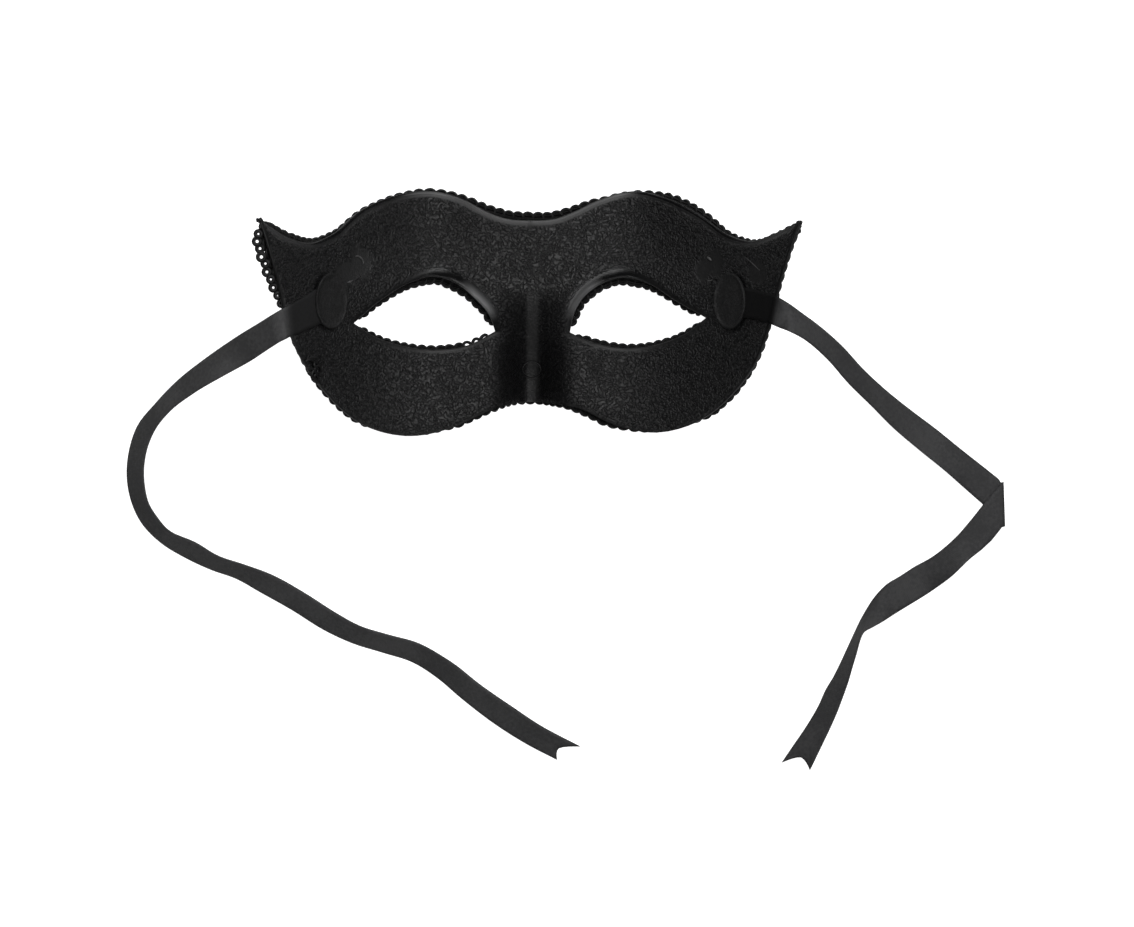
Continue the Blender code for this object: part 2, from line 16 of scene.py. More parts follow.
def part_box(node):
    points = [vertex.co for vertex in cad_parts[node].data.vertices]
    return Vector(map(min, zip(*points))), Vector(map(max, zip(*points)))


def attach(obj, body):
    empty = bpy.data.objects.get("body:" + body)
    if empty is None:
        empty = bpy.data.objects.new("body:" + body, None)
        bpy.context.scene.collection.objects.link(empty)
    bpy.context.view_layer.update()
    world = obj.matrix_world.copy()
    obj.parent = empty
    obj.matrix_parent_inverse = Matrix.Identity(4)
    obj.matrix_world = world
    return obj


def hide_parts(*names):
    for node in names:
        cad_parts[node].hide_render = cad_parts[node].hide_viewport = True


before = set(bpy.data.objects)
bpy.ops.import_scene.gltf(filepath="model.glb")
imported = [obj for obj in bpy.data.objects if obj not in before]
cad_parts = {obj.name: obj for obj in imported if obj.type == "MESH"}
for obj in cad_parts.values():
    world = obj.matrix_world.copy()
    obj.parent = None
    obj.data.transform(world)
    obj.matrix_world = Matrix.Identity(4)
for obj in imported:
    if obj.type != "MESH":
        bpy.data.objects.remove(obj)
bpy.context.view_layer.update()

MM = 0.001
# Corners closer than this, in metres, count as one
WELD = 0.000001

# The photograph: size in pixels, the pixel under the camera and the scale at one height
PHOTO_WIDTH = 1134
PHOTO_HEIGHT = 927
PHOTO_X = 530.5
PHOTO_Y = 312.5
PIXELS_PER_MM = 3.0
CAMERA_HEIGHT = 2500.0
SCALE_HEIGHT = 15.0
SENSOR_WIDTH = 36.0

# Shell: edges sharper than the first angle bound a face, and turns over the second are corners
RIM_ANGLE = 50.0
CORNER_ANGLE = 35.0
# Steps of the fine net between the frame's spokes, and between its two bands of rings
SPOKE_STEPS = 4
MIDDLE_STEPS = 10
# Distance in millimetres of the net's rings from an eye hole, and from the outer edge
EYE_RINGS = (0.0, 0.03, 0.1, 0.22, 0.38, 0.6, 0.85, 1.2, 1.6, 2.1, 2.7, 3.4, 4.3, 5.3, 6.5)
EDGE_RINGS = (
    6.0, 4.4, 3.1, 2.3, 1.8, 1.45, 1.28, 1.12, 0.98, 0.84, 0.68, 0.5, 0.3, 0.14, 0.04, 0.0,
)
# Least share of a spoke that the steps between the bands keep
MIDDLE_SHARE = 0.08
# Outer rim on the wearer's side: a bevel, the rounding of its edge and a groove inside it.
# All are full where the edge faces the brows and keep a share of it elsewhere.
RIM_WIDTH = 1.0
RIM_DEPTH = 0.24
RIM_ROUND = 0.25
LOW_RIM_SHARE = 0.15
GROOVE_PLACE = 1.0
GROOVE_WIDTH = 0.45
GROOVE_DEPTH = 0.11
# Lean of the outer edge from which it counts as facing the brows, and span up to the full share
BROW_LEAN = 0.15
BROW_SPAN = 0.6
# Rounding of the eye holes' rims on the wearer's side, and of all rims on the front
EYE_RIM_WIDTH = 1.2
EYE_RIM_DEPTH = 0.75
FRONT_RIM_WIDTH = 0.5
FRONT_RIM_DEPTH = 0.4
# Roll of the eye holes' rims towards the front, and its share along their lower sides
# and at their outer corners
EYE_ROLL = 0.32
EYE_ROLL_WIDTH = 2.6
LOW_ROLL_SHARE = 0.1
OUTER_ROLL_SHARE = 0.05
# Where the roll grows to its full share, going in from the outer corner and up the hole:
# start and span as shares of the hole's width and height
ROLL_ALONG = (0.3, 0.35)
ROLL_UP = (0.15, 0.5)
# Painted highlight, a light crescent on the eye rims beside the nose: start and span as above,
# then the distance from the rim and the width, and the shares on both sides
PAINTED_HIGHLIGHT_ALONG = (0.72, 0.12)
PAINTED_HIGHLIGHT_UP = (0.35, 0.25)
PAINTED_HIGHLIGHT_BAND = (1.1, 1.6)
PAINTED_HIGHLIGHT_LEFT = 1.0
PAINTED_HIGHLIGHT_RIGHT = 0.5
# Margin without grain: width, width added by a full roll or a full rim, and fade
EYE_MARGIN = (0.6, 2.6, 1.0)
EDGE_MARGIN = (0.3, 1.4, 0.7)
# Where the gloss of the rims ends: from the outer edge, and from a rolled eye rim.
# Then its share along the lower edge.
EDGE_GLOSS = 1.7
EYE_GLOSS = 4.6
LOW_GLOSS_SHARE = 0.4
# Smooth strip along the nose's hollow: middle x, half width, lowest and highest y, and fades
NOSE_STRIP = (0.7, 1.2, -31.0, 2.0)
STRIP_FADE = 1.6
STRIP_END_FADE = 8.0
STRIP_SMOOTH = 0.6
# Painted shade on the nose's flanks beside the strip, as less gloss: reach from its side, and fade
FLANK_REACH = 14.5
FLANK_FADE = 7.5

# Braid: gap to the wall, width of the band, pitch of its loops, and cord
BRAID_GAP = 0.35
BRAID_BAND = 7.4
EDGE_PITCH = 3.45
EYE_PITCH = 3.3
CORD_RADIUS = 0.58
GUIDE_STEP = 0.8
LOOP_STEPS = 16
BED_STEPS = 4
# Room for a band: shares of its width that are tried, the part of a tried length that is taken,
# how far off the line its end has to be as a share of it, and the least width in millimetres
TRIED_SHARES = np.linspace(0.04, 1.0, 33)
TAKEN_SHARE = 0.92
CLEAR_SHARE = 0.97
LEAST_WIDTH = 0.3
# Height under which the braid is pressed flat
PRESSED = 0.5
# Most that a band in the frame counts for, and what the photograph may add to it
BAND_REACH = 4.6
BAND_SPARE = 1.0
# Limits of how far the braid may reach past its edge, and how far back from it. Then the share
# of the band that counts as shown, the share of it that may draw back, and the least share of
# a step outwards that counts as level.
LONGEST_REACH = 4.5
DEEPEST_REACH = -1.5
SHOWN_SHARE = 0.6
BACK_SHARE = 0.8
LEAST_LEVEL = 0.35
# At a wing's tip the band sets off further in and draws back, fading over a distance
TIP_LEAD = 2.4
TIP_LEAD_SHARE = 0.4
TIP_BACK = 1.3
TIP_CLEAR = 1.0
TIP_FADE = 3.0
# Share of the slope that open loops lose, how much wider they swing, and fade round each place
OPEN_LEVEL = 0.85
OPEN_WIDER = 0.09
OPEN_FADE = 1.5
# Share of the eye rims' roll that the braid follows
ROLL_FOLLOWED = 0.9
# Height of the scroll's two cords over the bed, in cord radii
SCROLL_LIFT = 0.9
# Turns of the thread round a cord over one loop
THREAD_TURNS = 22.0
# Cords of the braid. Columns: name, middle between the braid's outer side (-1) and inner side
# (+1), swing across as a share, swing along in pitches, rise in cord radii, turn at the start
LOOPED_CORDS = (
    ("outer_loops", -0.77, 0.26, 0.21, 0.4, 0.00),
    ("inner_loops", 0.81, 0.19, 0.19, 0.4, 0.50),
    ("scroll", 0.00, 0.50, -0.16, 0.9, 0.00),
    ("counter_scroll", 0.00, 0.50, 0.16, -0.9, 0.50),
)
# Straight cords of the bed: name, place across, share that opens where the loops lie loose
BED_CORDS = (
    ("outer_bed", -0.76, 0.5),
    ("outer_middle", -0.47, 0.3),
    ("outer_inner", -0.16, 0.0),
    ("inner_inner", 0.16, 0.0),
    ("inner_middle", 0.46, 0.0),
    ("inner_bed", 0.76, 0.0),
)
# How far the braid shows past the outer edge: pixel x and y on the edge, reach in millimetres
BRAID_SHOWN = (
    (262, 224, 0.4), (265, 240, 2.4), (272, 262, 2.2), (279, 282, 1.7), (284, 298, 1.3),
    (290, 320, 1.5), (297, 345, 0.9), (305, 362, 0.9), (318, 388, 1.4), (340, 410, 1.3),
    (360, 424, 1.0), (376, 430, 0.1), (410, 435, 0.0), (445, 430, 0.2), (460, 424, 0.9),
    (480, 412, 1.1), (500, 404, 1.1), (531, 401, 0.9), (560, 402, 1.2), (580, 415, 2.0),
    (605, 425, 1.8), (628, 430, 0.6), (650, 433, 0.0), (690, 424, 0.2), (706, 415, 1.4),
    (735, 395, 1.6), (752, 365, 1.2), (765, 335, 1.1), (772, 300, 1.0), (785, 260, 1.0),
    (795, 230, 0.7), (798, 221, 0.2), (775, 233, 0.1), (755, 238, 0.0), (742, 233, 1.0),
    (715, 215, 2.2), (690, 202, 2.6), (668, 192, 2.2), (650, 189, 1.1), (632, 188, 0.1),
    (605, 191, 0.4), (585, 197, 1.6), (565, 205, 2.3), (530, 214, 2.8), (500, 211, 2.8),
    (480, 205, 2.2), (462, 198, 1.6), (440, 192, 1.1), (415, 190, 0.8), (385, 196, 0.5),
    (350, 215, 0.9), (335, 228, 1.3), (310, 236, 1.9), (285, 231, 1.4), (270, 225, 0.7),
)
# Where the braid's outer loops lie open: pixel x and y, radius in millimetres
OPEN_LOOPS = (
    (259, 240, 5.0), (266, 255, 6.0), (272, 272, 6.0), (281, 290, 5.0), (486, 334, 5.0),
    (474, 341, 4.0),
)

# Clear glue films on the wearer's side. Columns: pixel x and y, radius in millimetres
GLUE_FILMS = (
    (359, 264, 6.0),
    (346, 274, 5.0),
    (713, 264, 5.0),
    (702, 270, 4.0),
    (757, 272, 4.5),
)

# Round mark that the mould leaves in the nose's hollow: pixel x and y, half width, half height
MOULD_MARK = (531.7, 369.2, 3.0, 2.45)
# The mark's raised ring: radius of its tube, and how deep that is sunk in as a share of it
MARK_RADIUS = 0.17
MARK_SUNK = 0.35
MARK_STEPS = 48

# Patches: share of their box that they fill, corners round them, and their rings from foot to
# middle as a share of the half size and a height in millimetres
PATCH_SHARE = 0.985
PATCH_SIDES = 72
PATCH_RINGS = (
    (1.0, 0.1),
    (1.0, 0.8),
    (0.99, 1.1),
    (0.96, 1.26),
    (0.92, 1.2),
    (0.88, 1.0),
    (0.82, 0.9),
    (0.65, 0.9),
    (0.45, 0.95),
    (0.2, 1.0),
)

# Strings: steps between their points, and how deep they are sunk in, as a share of their radius
STRING_STEPS = 6
GLUE_SUNK = 0.45
THREAD_SUNK = 0.1
# Strings of glue on the wearer's side: pixel x and y and radius in millimetres of each point
GLUE_STRINGS = (
    ((355.4, 256.3, 0.12), (358.0, 256.2, 0.26), (361.0, 258.0, 0.26), (363.0, 261.2, 0.22),
     (363.2, 264.0, 0.1)),
    ((347.5, 282.4, 0.1), (350.0, 281.8, 0.3), (352.6, 280.4, 0.1)),
    ((745.0, 256.7, 0.08), (752.0, 263.0, 0.14), (759.7, 270.3, 0.08)),
    ((707.4, 280.0, 0.08), (710.0, 281.0, 0.2), (712.4, 279.6, 0.08)),
    ((707.0, 257.0, 0.15), (709.6, 258.6, 0.4), (711.5, 260.5, 0.15)),
)

# Round loops that stand loose off the left wing's braid: pixel x and y, radius in pixels.
# Then the cord's radius and how far under the shell's edge the loops lie.
LOOSE_LOOPS = (
    (258.6, 234.0, 3.0), (257.3, 241.5, 3.5), (260.2, 248.6, 3.3), (261.5, 257.0, 3.6),
    (265.6, 263.6, 3.1), (267.0, 272.0, 3.4), (271.0, 279.4, 3.0), (273.4, 287.6, 3.2),
    (278.0, 295.5, 2.8), (281.2, 303.5, 2.6),
)
LOOSE_THREAD = 0.68
LOOSE_DROP = 1.6
# Loose end of the braid's threads at the lower left edge, laid out in the same way
THREAD_ENDS = (
    ((304.5, 361.5, 0.4), (309.5, 359.6, 0.6), (314.5, 362.0, 0.6), (319.0, 366.5, 0.5),
     (320.5, 372.0, 0.3)),
    ((323.0, 358.0, 0.3), (319.0, 363.5, 0.5), (314.5, 368.0, 0.6), (311.0, 373.5, 0.6),
     (312.0, 380.5, 0.4)),
    ((307.0, 367.5, 0.4), (312.5, 370.0, 0.6), (316.0, 375.5, 0.6), (318.5, 382.0, 0.4)),
    ((307.5, 373.0, 0.5), (311.5, 376.5, 0.6), (316.0, 381.0, 0.6), (321.5, 385.5, 0.3)),
    ((317.0, 360.0, 0.4), (313.0, 365.0, 0.6), (316.5, 370.5, 0.6), (313.0, 377.0, 0.5),
     (316.0, 383.5, 0.3)),
)

# Ribbons
RIBBON_WIDTH = 10.0
RIBBON_THICKNESS = 0.34
RIBBON_STEPS = 5
RIBBON_COLUMNS = 8
RIB_PITCH = 0.6
# Gap between a ribbon and the shell under it
RIBBON_GAP = 0.15
# Height of a ribbon's underside over the surface, at least
LOWEST = 0.06
# Depth of the hollow cut at a ribbon's end, and length over which the rows draw back
END_NOTCH = 3.6
NOTCH_REACH = 16.0
# Painted shade on the ribbons where they lie on the shell: length from the patch over which
# the ribbon is dark, and where that ends; then the share of it on the left ribbon
PAINTED_SHADE_LENGTH = (23.0, 29.0)
PAINTED_SHADE_LEFT = 0.85

# Colours, linear
PLASTIC_BLACK = (0.0032, 0.0032, 0.0034, 1.0)
# Light grey of the painted highlight on the eye rims
PLASTIC_PAINTED_HIGHLIGHT = (0.16, 0.16, 0.162, 1.0)
THREAD_BLACK = (0.0016, 0.0016, 0.0017, 1.0)
PATCH_BLACK = (0.0026, 0.0026, 0.0028, 1.0)
PATCH_MOTTLE = ((0.0016, 0.0016, 0.0017, 1.0), (0.0042, 0.0042, 0.0044, 1.0))
GLUE_GREY = (0.05, 0.05, 0.05, 1.0)
SATIN_GREY = (0.024, 0.024, 0.025, 1.0)
# Dark grey of the ribbons' painted shade
SATIN_PAINTED_SHADE = (0.0065, 0.0065, 0.0067, 1.0)
# The ribbons' darker and lighter tones, mixed at random as a painted uneven sheen: the right
# ribbon's pair, then the left one's, lighter as painted light since the key light reaches it less
SATIN_TONES = (
    ((0.034, 0.034, 0.035, 1.0), (0.047, 0.047, 0.048, 1.0)),
    ((0.047, 0.047, 0.048, 1.0), (0.064, 0.064, 0.065, 1.0)),
)
FLOOR_GREY = (0.5, 0.5, 0.5, 1.0)
WHITE = (1.0, 1.0, 1.0, 1.0)

# Lights. Columns: name, place and size in metres, power in watts; each faces the mask
SOFTBOXES = (
    ("upper_key", (0.31, 0.46, 1.16), (1.6, 1.05), 16.5),
    ("sheen_light", (-0.05, 0.16, 1.3), (0.4, 0.4), 1.6),
    ("brow_rim_light", (-0.1, 1.45, 0.75), (1.6, 0.3), 7.0),
    ("low_left_light", (-0.86, -0.86, 0.70), (0.3, 0.3), 1.5),
    ("low_right_light", (0.86, -0.86, 0.70), (0.3, 0.3), 0.8),
    ("chin_light", (0.0, -1.3, 0.6), (1.2, 0.25), 2.2),
)
# Brightness of the floor for the camera, and for what is reflected or lit by it
FLOOR_SEEN = 1.0
FLOOR_GLOW = 0.1
# Half width of the floor, and how far it lies under the mask, in metres
FLOOR_HALF = 4.0
FLOOR_DROP = 0.0002
WORLD_GLOW = 0.01

# Routes of the ribbons from the patch to the free end.
# Columns: pixel x and y of one edge, pixel x and y of the other, height of each edge.
# A height of None lies on the shell where both are None, and otherwise follows from the width.
LEFT_ROUTE = (
    (338, 276.0, 344, 309.0, None, None),
    (326, 283.5, 331, 317.0, None, None),
    (311, 292.5, 317, 325.5, None, None),
    (302, 298.0, 306, 330.0, None, None),
    (293, 303.0, 296, 334.5, None, None),
    (287, 306.5, 291, 336.0, None, None),
    (281, 309.5, 286, 339.0, 45.0, 44.5),
    (274, 313.5, 280, 342.0, 45.3, 44.3),
    (262, 321.0, 272, 347.0, 42.5, 41.5),
    (236, 337.0, 250, 361.5, 34.5, 33.0),
    (206, 358.0, 221, 377.5, 25.0, None),
    (177, 381.0, 194, 393.5, 15.5, None),
    (155, 404.0, 171, 411.0, 8.0, None),
    (137, 427.0, 155, 431.5, 3.0, None),
    (129, 452.0, 147, 453.5, 1.0, None),
    (127, 476.0, 145, 476.0, 0.5, None),
    (131, 500.0, 149, 500.5, 0.5, None),
    (141, 522.0, 159, 517.5, 0.5, None),
    (160, 542.0, 172, 531.0, 0.5, None),
    (185, 557.5, 196, 541.5, 0.5, None),
    (212, 570.0, 220, 555.5, 0.5, None),
    (236, 578.5, 244, 563.5, 0.5, None),
    (260, 592.0, 271, 573.5, 0.5, None),
    (292, 610.0, 303, 591.0, 0.5, None),
    (324, 630.0, 336, 612.0, 0.5, None),
    (352, 643.0, 360, 625.0, 0.5, None),
    (384, 653.0, 389, 634.0, 0.5, None),
    (412, 662.0, 420, 643.0, 0.5, None),
    (436, 677.0, 451, 661.0, 0.5, None),
    (462, 699.0, 479, 683.0, 0.5, None),
    (496, 725.0, 512, 706.0, 0.5, None),
    (528, 745.0, 544, 727.0, 0.5, None),
    (557, 760.0, 580, 746.0, 0.5, None),
)
RIGHT_ROUTE = (
    (722, 285.0, 722, 316.0, None, None),
    (735, 286.0, 735, 317.0, None, None),
    (748, 288.0, 748, 318.5, None, None),
    (757, 290.0, 757, 320.0, None, None),
    (767, 292.5, 763, 321.5, None, None),
    (774, 294.5, 768, 322.5, None, None),
    (779, 297.5, 773, 325.0, 45.0, 44.5),
    (786, 301.5, 780, 328.0, 45.3, 44.5),
    (799, 311.0, 788, 331.0, 42.5, None),
    (820, 326.5, 806, 341.0, 35.0, None),
    (842, 346.0, 827, 359.5, 26.0, None),
    (864, 370.0, 848, 383.5, 16.5, None),
    (888, 392.0, 872, 407.0, 9.0, None),
    (910, 409.5, 893, 428.0, 4.0, None),
    (936, 429.0, 919, 450.0, 1.5, None),
    (962, 450.0, 945, 471.0, 0.5, None),
    (984, 467.0, 966, 489.5, 0.5, 0.5),
    (999, 479.0, 982, 503.5, 0.5, 0.5),
    (1001, 482.5, 1002, 524.5, 0.5, 0.5),
    (1003.5, 482.0, 1005, 526.5, 1.1, 1.1),
    (1001, 485.0, 1002, 527.5, 1.7, 1.7),
    (983, 505.0, 1000, 530.5, 1.7, 1.7),
    (972, 519.0, 992, 540.5, 1.7, 1.7),
    (961, 532.0, 983, 549.0, 1.4, 1.4),
    (948, 545.0, 969, 558.5, 0.5, None),
    (931, 558.0, 950, 577.0, 0.5, None),
    (916, 566.0, 933, 591.5, 0.5, None),
    (900.5, 576.0, 914, 603.5, 0.5, None),
    (886, 585.0, 898, 613.0, 0.5, None),
    (875, 597.0, 884, 620.0, 0.5, None),
    (866, 611.0, 872, 626.0, 0.5, None),
    (859, 624.0, 863, 631.0, 0.5, None),
    (853, 637.0, 859, 639.0, 0.5, None),
    (847, 650.0, 855.5, 652.0, 0.5, None),
    (841, 663.0, 851.5, 665.5, 0.5, None),
    (834, 677.0, 847, 681.5, 0.5, None),
    (826, 690.5, 842, 696.0, 0.5, None),
    (819, 706.0, 836, 712.0, 0.5, None),
    (811, 720.0, 829.5, 727.0, 0.5, None),
    (803, 732.5, 823, 741.0, 0.5, None),
    (795, 744.0, 817, 754.0, 0.5, None),
    (782, 763.0, 810, 770.0, 0.5, None),
)
# Rows of RIGHT_ROUTE round its flat fold, between which the ribbon runs straight
FOLD_ROWS = range(16, 23)


# Curves and surfaces


def smooth_rows(rows, steps, corners=(), closed=True, straight=()):
    """Rows of numbers with a smooth curve through them, read at even steps between rows."""
    rows = np.array(rows, dtype=float)
    count = len(rows)
    spans = count if closed else count - 1
    ahead = np.roll(rows, -1, axis=0)
    length = np.maximum(np.linalg.norm((ahead - rows)[:, :3], axis=1), WELD)[:, None]
    forward = (ahead - rows) / length
    backward, before = np.roll(forward, 1, axis=0), np.roll(length, 1, axis=0)
    slope = (backward * length + forward * before) / (before + length)
    ends = set(corners) if closed else set(corners) | {0, count - 1}
    made = []
    for index in range(spans):
        after = (index + 1) % count
        leave = forward[index] if index in ends else slope[index]
        arrive = forward[index] if after in ends else slope[after]
        for share in np.arange(1 if index in straight else steps) / steps:
            square, cube = share**2, share**3
            made.append(
                (2 * cube - 3 * square + 1) * rows[index]
                + (cube - 2 * square + share) * leave * length[index]
                + (3 * square - 2 * cube) * rows[after]
                + (cube - square) * arrive * length[index]
            )
    if not closed:
        made.append(rows[-1])
    return np.array(made)


def lengths_along(line):
    """The length of a line of points up to each of them."""
    return np.concatenate(([0.0], np.cumsum(np.linalg.norm(np.diff(line, axis=0), axis=1))))


def circle(steps):
    """Points at even steps round a circle of radius 1."""
    turn = np.arange(steps) * math.tau / steps
    return np.column_stack((np.cos(turn), np.sin(turn)))


def nearest(points, line):
    """How far each point is from the nearest point of a line, in plan, and which point that is."""
    far, row = np.empty(len(points)), np.empty(len(points), dtype=int)
    for start in range(0, len(points), 2000):
        block = points[start : start + 2000, None, :2] - line[None, :, :2]
        square = (block**2).sum(2)
        row[start : start + 2000] = square.argmin(1)
        far[start : start + 2000] = np.sqrt(square.min(1))
    return far, row


def distance_to(points, line):
    return nearest(points, line)[0]


def smoothed(values):
    share = np.clip(values, 0.0, 1.0)
    return share * share * (3.0 - 2.0 * share)


def rising(values, start, span):
    """0 up to a start and 1 from a span beyond it on."""
    return smoothed((values - start) / span)


def at_least(least, share):
    """A share of 0 to 1 read as one from the least to 1."""
    return least + (1.0 - least) * share


def unit(vectors):
    return vectors / np.maximum(np.linalg.norm(vectors, axis=-1, keepdims=True), 1e-12)


class Face:
    """The mask's inner face as a smooth height over the plane, through the frame's corners."""

    def __init__(self, corners):
        self.places = corners[:, :2] / MM
        count = len(corners)
        system = np.zeros((count + 3, count + 3))
        system[:count, :count] = self.kernel(self.places)
        system[:count, count] = system[count, :count] = 1.0
        system[:count, count + 1 :] = self.places
        system[count + 1 :, :count] = self.places.T
        heights = np.concatenate((corners[:, 2] / MM, np.zeros(3)))
        self.weights = np.linalg.solve(system, heights)
        self.rims = []

    def roll_rim(self, loop):
        """Roll an eye hole's rim forwards, most along its upper side; mark its painted highlight.
        """
        ahead = unit(np.roll(loop, -1, axis=0) - np.roll(loop, 1, axis=0))
        away = np.column_stack((ahead[:, 1], -ahead[:, 0]))
        low, high = loop.min(0), loop.max(0)
        # Places along the hole from its outer to its inner corner, and up it
        along, level = ((loop - low) / (high - low)).T
        right = loop[:, 0].mean() > 0
        if right:
            along = 1.0 - along
        # Painted highlight: its share along the hole, most at the inner upper corner, more on the
        # left
        beside = rising(along, *PAINTED_HIGHLIGHT_ALONG) * rising(level, *PAINTED_HIGHLIGHT_UP)
        beside *= PAINTED_HIGHLIGHT_RIGHT if right else PAINTED_HIGHLIGHT_LEFT
        inner = at_least(OUTER_ROLL_SHARE, rising(along, *ROLL_ALONG))
        share = at_least(LOW_ROLL_SHARE, inner * rising(level, *ROLL_UP))
        self.rims.append((loop, away, share, beside))

    def rim_roll(self, places):
        """Depth of the roll at each place, its rim's share of roll, and its painted highlight."""
        drop, part, white = np.zeros((3, len(places)))
        reach = EYE_ROLL_WIDTH * MM
        for loop, away, share, beside in self.rims:
            centre = loop.mean(0)
            span = np.abs(loop - centre).max(0) + 2.0 * reach
            near = np.where((np.abs(places - centre) < span).all(1))[0]
            for start in range(0, len(near), 2000):
                rows = near[start : start + 2000]
                apart = places[rows, None] - loop[None]
                square = (apart**2).sum(2)
                first = square.argmin(1)
                pick = np.arange(len(rows))
                side = (apart[pick, first] * away[first]).sum(1)
                distance = np.sqrt(square[pick, first]) * np.where(side < 0, -1.0, 1.0)
                left = np.clip(1.0 - distance / reach, 0.0, 1.4)
                drop[rows] = np.maximum(drop[rows], EYE_ROLL * MM * share[first] * left**2)
                part[rows] = np.maximum(part[rows], share[first])
                # The painted highlight lies in a band at a distance from the rim
                bell = np.exp(-(((distance / MM - PAINTED_HIGHLIGHT_BAND[0]) / PAINTED_HIGHLIGHT_BAND[1]) ** 2))
                white[rows] = np.maximum(white[rows], beside[first] * bell)
        return drop, part, white

    def kernel(self, places):
        square = ((places[:, None] - self.places[None]) ** 2).sum(2)
        return square * np.log(np.maximum(square, 1e-12))

    def height(self, places):
        made = []
        for start in range(0, len(places), 2000):
            block = places[start : start + 2000] / MM
            flat = self.weights[-3] + block @ self.weights[-2:]
            made.append(self.kernel(block) @ self.weights[:-3] + flat)
        return np.concatenate(made) * MM - self.rim_roll(places)[0]

    def points(self, places):
        return np.column_stack((places, self.height(places)))

    def normals(self, places, step=0.25 * MM):
        slopes = [
            (self.height(places + shift) - self.height(places - shift)) / (2 * step)
            for shift in (np.array((step, 0.0)), np.array((0.0, step)))
        ]
        return unit(np.column_stack((-slopes[0], -slopes[1], np.ones(len(places)))))

    def offset(self, places, distance):
        return self.points(places) + self.normals(places) * distance


# Places in the photograph


def from_photo(x, y, height):
    """The place in millimetres seen at a pixel, for something at a height over the surface."""
    scale = (CAMERA_HEIGHT - height) / (CAMERA_HEIGHT - SCALE_HEIGHT) / PIXELS_PER_MM
    return np.array(((x - PHOTO_X) * scale, (PHOTO_Y - y) * scale))


def on_shell(face, x, y):
    """The point in millimetres on the shell, with a ribbon's half thickness, seen at a pixel."""
    place, shown = np.zeros(2), np.zeros(3)
    for _ in range(6):
        place = place + from_photo(x, y, shown[2]) - shown[:2]
        shown = face.offset(place[None] * MM, (RIBBON_GAP + RIBBON_THICKNESS / 2) * MM)[0] / MM
    return shown


# The frame's shell, read as rings


def sharp_edges(net):
    return {
        edge
        for edge in net.edges
        if len(edge.link_faces) == 2 and edge.calc_face_angle() > math.radians(RIM_ANGLE)
    }


def inner_region(net, sharp):
    """The faces of the wearer's side, reached from the most level one that looks up."""
    first = max(net.faces, key=lambda face: face.normal.z)
    found, waiting = {first}, [first]
    while waiting:
        for edge in waiting.pop().edges:
            if edge not in sharp:
                fresh = set(edge.link_faces) - found
                found |= fresh
                waiting.extend(fresh)
    return found


def walk(layer, neighbours):
    """The points of one closed ring in order."""
    ring = [min(layer)]
    left = set(layer) - {ring[0]}
    while left:
        following = sorted(neighbours[ring[-1]] & left)
        if not following:
            break
        ring.append(following[0])
        left.discard(following[0])
    return ring


def counterclockwise(ring, places):
    x, y = places[ring, 0], places[ring, 1]
    area = np.dot(x, np.roll(y, -1)) - np.dot(y, np.roll(x, -1))
    return ring if area > 0 else ring[::-1]


def next_ring(ring, layer, places, neighbours):
    """The points of the layer next to a ring, in order, each on the same spoke as the ring's."""
    count = len(ring)
    rank = {corner: row for row, corner in enumerate(ring)}

    def mean_rank(corner):
        ranks = [rank[near] for near in neighbours[corner] if near in rank]
        if max(ranks) - min(ranks) > count / 2:
            ranks = [row + count if row < count / 2 else row for row in ranks]
        return sum(ranks) / len(ranks) % count

    outer = sorted(layer, key=mean_rank)
    turns = [outer[turn:] + outer[:turn] for turn in range(len(outer))]

    def misfit(turned):
        apart = sum(far not in neighbours[near] for near, far in zip(ring, turned))
        return apart, np.linalg.norm(places[ring] - places[turned], axis=1).sum()

    return min(turns, key=misfit)


def corner_rows(loop):
    """Where a closed loop turns sharply in plan."""
    ahead = unit((np.roll(loop, -1, axis=0) - loop)[:, :2])
    turn = (ahead * np.roll(ahead, 1, axis=0)).sum(1)
    return tuple(np.where(turn < math.cos(math.radians(CORNER_ANGLE)))[0])


def outer_part(ring):
    """The points of a half's outer ring off the centre line, from one end of it to the other."""
    on_centre = np.abs(ring[:, 0]) < 2 * WELD
    ends = ring[on_centre, 1].min(), ring[on_centre, 1].max()
    inside = on_centre & (ring[:, 1] > ends[0] + WELD) & (ring[:, 1] < ends[1] - WELD)
    first = next(row for row in range(len(ring)) if inside[row - 1] and not inside[row])
    turned = np.roll(ring, -first, axis=0)
    return turned[: len(ring) - inside.sum() - 1]


